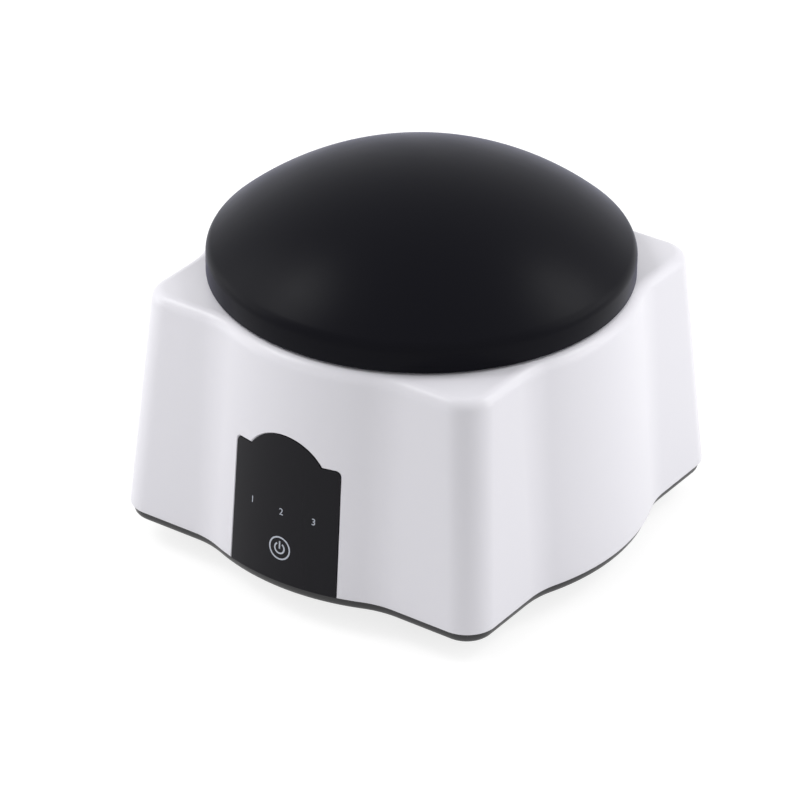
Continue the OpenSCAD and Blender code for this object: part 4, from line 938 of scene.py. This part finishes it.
def finger_cutter():
    """A round bar through the dome, a little wider than the opening that the seat leaves."""
    bar = plug(FINGER_R + FINGER_CUT_ROOM, FINGER_CUT, MIDDLE)
    return moved(bar, Matrix.Translation((0, 0, -FINGER_CUT / 2)))


FINGERS = range(1, 6)
deck = trimmed(turned(deck_profile(), LARGE), [at_finger(finger_cutter(), k) for k in FINGERS])
seats = [at_finger(finger_seat(), k) for k in FINGERS]
make_piece(joined([deck, *seats]), "finger_deck_plate", "finger_deck", "plate_black",
           ["finger_plate"])

# %% [markdown]
# Each cuff is one moulding of soft silicone: a flange that lies on the seat, a
# neck through it, a catch below, and a funnel that bends down and inwards. It
# could be sculpted, or pressed into shape as a soft body. A closed profile,
# turned once, was chosen because the cuff is round and stands at rest in the
# shape of its mould, and because the same profile then serves all five.

# %% Cuffs
CUFF_REACH, CUFF_H, CUFF_LIP, CUFF_ROOM = 3.5, 1.5, 2.1, 0.05


def cuff_profile():
    """Flange on the plate, neck through it, catch below, and the funnel in the middle."""
    top, under = SEAT_TOP + CUFF_ROOM, SEAT_TOP - SEAT_T - CUFF_ROOM
    neck, tip = FINGER_R - 0.1, FINGER_R - CUFF_REACH
    lip = neck + CUFF_LIP
    funnel = [(tip + 2.2, top + CUFF_H - 0.05), (tip + 1.7, top + 1.15), (tip + 1.45, top + 0.6),
              (tip + 1.2, -0.3), (tip + 0.85, -1.2), (tip + 0.35, -2.1), (tip, -2.8)]
    back = [(tip + 0.25, -3.15), (tip + 0.9, -3.2), (tip + 1.35, -2.4), (tip + 1.8, -1.4),
            (tip + 2.2, -0.4)]
    flange = [(neck, under), (neck, top), (lip - 0.15, top), (lip, top + 0.15)]
    round_top = arc((lip - 0.6, top + CUFF_H - 0.6), 0.6, 0, 90, 6) + [(tip + 2.7, top + CUFF_H)]
    catch = [(tip + 2.2, under - 1.2), (neck + 1.1, under - 1.2), (neck + 1.4, under - 0.9),
             (neck + 1.4, under)]
    return flange + round_top + funnel + back + catch


for k in FINGERS:
    make_piece(at_finger(turned(cuff_profile(), MIDDLE), k), f"soft_cuff_{k}", "finger_deck",
               "cuff_silicone", [f"finger_cuff_{k}"])

# %% [markdown]
# ## Lid
# A shallow dome that turns through a 5 mm round into an upright band. It is
# hollow, and a rib underneath carries the soft seal that lies on the collar.

# %% Lid
LID_R, LID_WALL, LID_BAND_H, LID_SHOULDER, LID_EDGE = 65.0, 2.2, 8.4, 5.0, 0.6
lid_low, lid_high = box_mm("lid_cover")
LID_Z0, LID_Z1 = lid_low.z, lid_high.z
LID_RISE = LID_Z1 - LID_Z0 - LID_BAND_H
LID_DOME_R = (LID_R ** 2 + LID_RISE ** 2) / (2 * LID_RISE)
LID_DOME_Z = LID_Z1 - LID_DOME_R
SEAL_MID_R, SEAL_T, SEAL_W, SEAL_EDGE = 59.5, 1.2, 2.4, 0.3
RIB_W, RIB_EDGE, RIB_CLEAR = 3.2, 0.3, 0.05


def lid_side(depth):
    """Round and dome of the lid's surface, depth inside the outer one."""
    x = LID_R - LID_SHOULDER
    z = LID_DOME_Z + math.sqrt((LID_DOME_R - LID_SHOULDER) ** 2 - x ** 2)
    tilt = math.degrees(math.atan2(x, z - LID_DOME_Z))
    round_r = max(LID_SHOULDER - depth, 0.4)
    points = arc((LID_R - depth - round_r, z), round_r, 0, 90 - tilt, 14)
    return points + arc((0, LID_DOME_Z), LID_DOME_R - depth, 90 - tilt, 90, 56)[1:]


def under_dome(r):
    return LID_DOME_Z + math.sqrt((LID_DOME_R - LID_WALL) ** 2 - r * r)


def lid_profile():
    """Outer skin, then the inner one with the rib hanging from it."""
    rib = [SEAL_MID_R + RIB_W / 2, SEAL_MID_R - RIB_W / 2]
    low = COLLAR_Z1 + SEAL_T
    inner = lid_side(LID_WALL)
    outside = [p for p in inner if p[0] > rib[0] + RIB_CLEAR]
    inside = [p for p in inner if p[0] < rib[1] - RIB_CLEAR]
    return (
        [(LID_R - LID_WALL + LID_EDGE, LID_Z0)]
        + arc((LID_R - LID_EDGE, LID_Z0 + LID_EDGE), LID_EDGE, 270, 360, 5)
        + lid_side(0)[:-1] + [(0, LID_Z1)]
        + [(0, LID_DOME_Z + LID_DOME_R - LID_WALL)] + inside[::-1][1:]
        + [(rib[1], under_dome(rib[1])), (rib[1], low + RIB_EDGE), (rib[1] + RIB_EDGE, low),
           (rib[0] - RIB_EDGE, low), (rib[0], low + RIB_EDGE), (rib[0], under_dome(rib[0]))]
        + outside[::-1]
        + [(LID_R - LID_WALL, LID_Z0 + LID_EDGE)]
    )


seal_in, seal_out, seal_top = SEAL_MID_R - SEAL_W / 2, SEAL_MID_R + SEAL_W / 2, COLLAR_Z1 + SEAL_T
seal_profile = [(seal_in, COLLAR_Z1), (seal_out, COLLAR_Z1), (seal_out, seal_top),
                (seal_in, seal_top)]
make_piece(turned(lid_profile(), LARGEST), "domed_lid", "lid", "lid_black", ["lid_cover"])
make_piece(ease(turned(seal_profile, LARGE), SEAL_EDGE), "soft_seal", "lid", "cuff_silicone",
           ["lid_seal"])

# %% [markdown]
# ## Light and floor
# The machine stands on a plain pale floor in a white surround. The surround
# gives most of the light, at a level at which a colour renders about as it is
# written. A large low box on the left and one behind on the right brighten the
# faces that turn away from the camera, which is where the photograph is
# brightest. Two small high ones stand where the lid mirrors them as its two
# soft patches, and they lift the flat top.
# The levels started from renders of each light alone, weighed against the
# photograph, and were then set by eye. What looks white to the camera looks
# white in gloss and glass too.

# %% Stage
SURROUND_LEVEL = 0.56
FLOOR_GLOW, FLOOR_SHARE = 0.78, 0.36


def looked_at(nodes, links):
    """1 for rays of the camera and for those that gloss or glass sends on, else 0."""
    path = nodes.new("ShaderNodeLightPath")
    kinds = nodes.new("ShaderNodeMath")
    either = nodes.new("ShaderNodeMath")
    kinds.operation = either.operation = "MAXIMUM"
    links.new(path.outputs["Is Camera Ray"], kinds.inputs[0])
    links.new(path.outputs["Is Glossy Ray"], kinds.inputs[1])
    links.new(kinds.outputs["Value"], either.inputs[0])
    links.new(path.outputs["Is Transmission Ray"], either.inputs[1])
    return either.outputs["Value"]


LIGHT_AIM = Vector((0, 0, 0.06))


def soft_box(name, azimuth, elevation, distance, size, level):
    """An area light facing the machine. Its level is the brightness it gives a white card there."""
    data = bpy.data.lights.new(name, "AREA")
    data.shape = "RECTANGLE"
    data.size, data.size_y = size
    data.energy = level * (math.pi * distance) ** 2
    lamp = bpy.data.objects.new(name, data)
    way = from_direction(math.radians(azimuth), math.radians(elevation))
    lamp.location = LIGHT_AIM + way * distance
    lamp.rotation_euler = way.to_track_quat("Z", "Y").to_euler()
    bpy.context.scene.collection.objects.link(lamp)
    return lamp


def floor_material():
    """Pale floor. The camera sees it nearly white, with a lighter shadow than it really has."""
    material = bpy.data.materials.new("floor")
    material.use_nodes = True
    nodes, links = material.node_tree.nodes, material.node_tree.links
    nodes.clear()
    out = nodes.new("ShaderNodeOutputMaterial")
    pale = nodes.new("ShaderNodeBsdfDiffuse")
    pale.inputs["Color"].default_value = (0.8, 0.8, 0.8, 1)
    thin = nodes.new("ShaderNodeBsdfDiffuse")
    thin.inputs["Color"].default_value = (FLOOR_SHARE, FLOOR_SHARE, FLOOR_SHARE, 1)
    glow = nodes.new("ShaderNodeEmission")
    glow.inputs["Strength"].default_value = FLOOR_GLOW
    shown = nodes.new("ShaderNodeAddShader")
    choice = nodes.new("ShaderNodeMixShader")
    links.new(thin.outputs["BSDF"], shown.inputs[0])
    links.new(glow.outputs["Emission"], shown.inputs[1])
    links.new(looked_at(nodes, links), choice.inputs["Fac"])
    links.new(pale.outputs["BSDF"], choice.inputs[1])
    links.new(shown.outputs["Shader"], choice.inputs[2])
    links.new(choice.outputs["Shader"], out.inputs["Surface"])
    return material


def floor():
    bm = bmesh.new()
    bmesh.ops.create_grid(bm, x_segments=1, y_segments=1, size=6.0)
    mesh = bpy.data.meshes.new("floor")
    bm.to_mesh(mesh)
    bm.free()
    mesh.materials.append(floor_material())
    plane = bpy.data.objects.new("floor", mesh)
    bpy.context.scene.collection.objects.link(plane)
    return plane


def surround():
    """White for the camera, and an even light for everything else."""
    studio = bpy.data.worlds.new("studio")
    studio.use_nodes = True
    nodes, links = studio.node_tree.nodes, studio.node_tree.links
    background = nodes["Background"]
    background.inputs["Color"].default_value = (1, 1, 1, 1)
    level = nodes.new("ShaderNodeMapRange")
    level.inputs["To Min"].default_value = SURROUND_LEVEL
    level.inputs["To Max"].default_value = 1.0
    links.new(looked_at(nodes, links), level.inputs["Value"])
    links.new(level.outputs["Result"], background.inputs["Strength"])
    bpy.context.scene.world = studio


floor()
surround()
soft_box("left_box", -66, 22, 0.65, (0.5, 0.5), 0.32)
soft_box("right_box", 126, 20, 0.75, (0.5, 0.5), 0.33)
soft_box("high_left_box", -64, 51, 1.3, (0.4, 0.4), 0.24)
soft_box("high_right_box", 139, 45, 1.3, (0.4, 0.4), 0.2)
bpy.context.scene.view_settings.view_transform = "Standard"
print("stage ready")
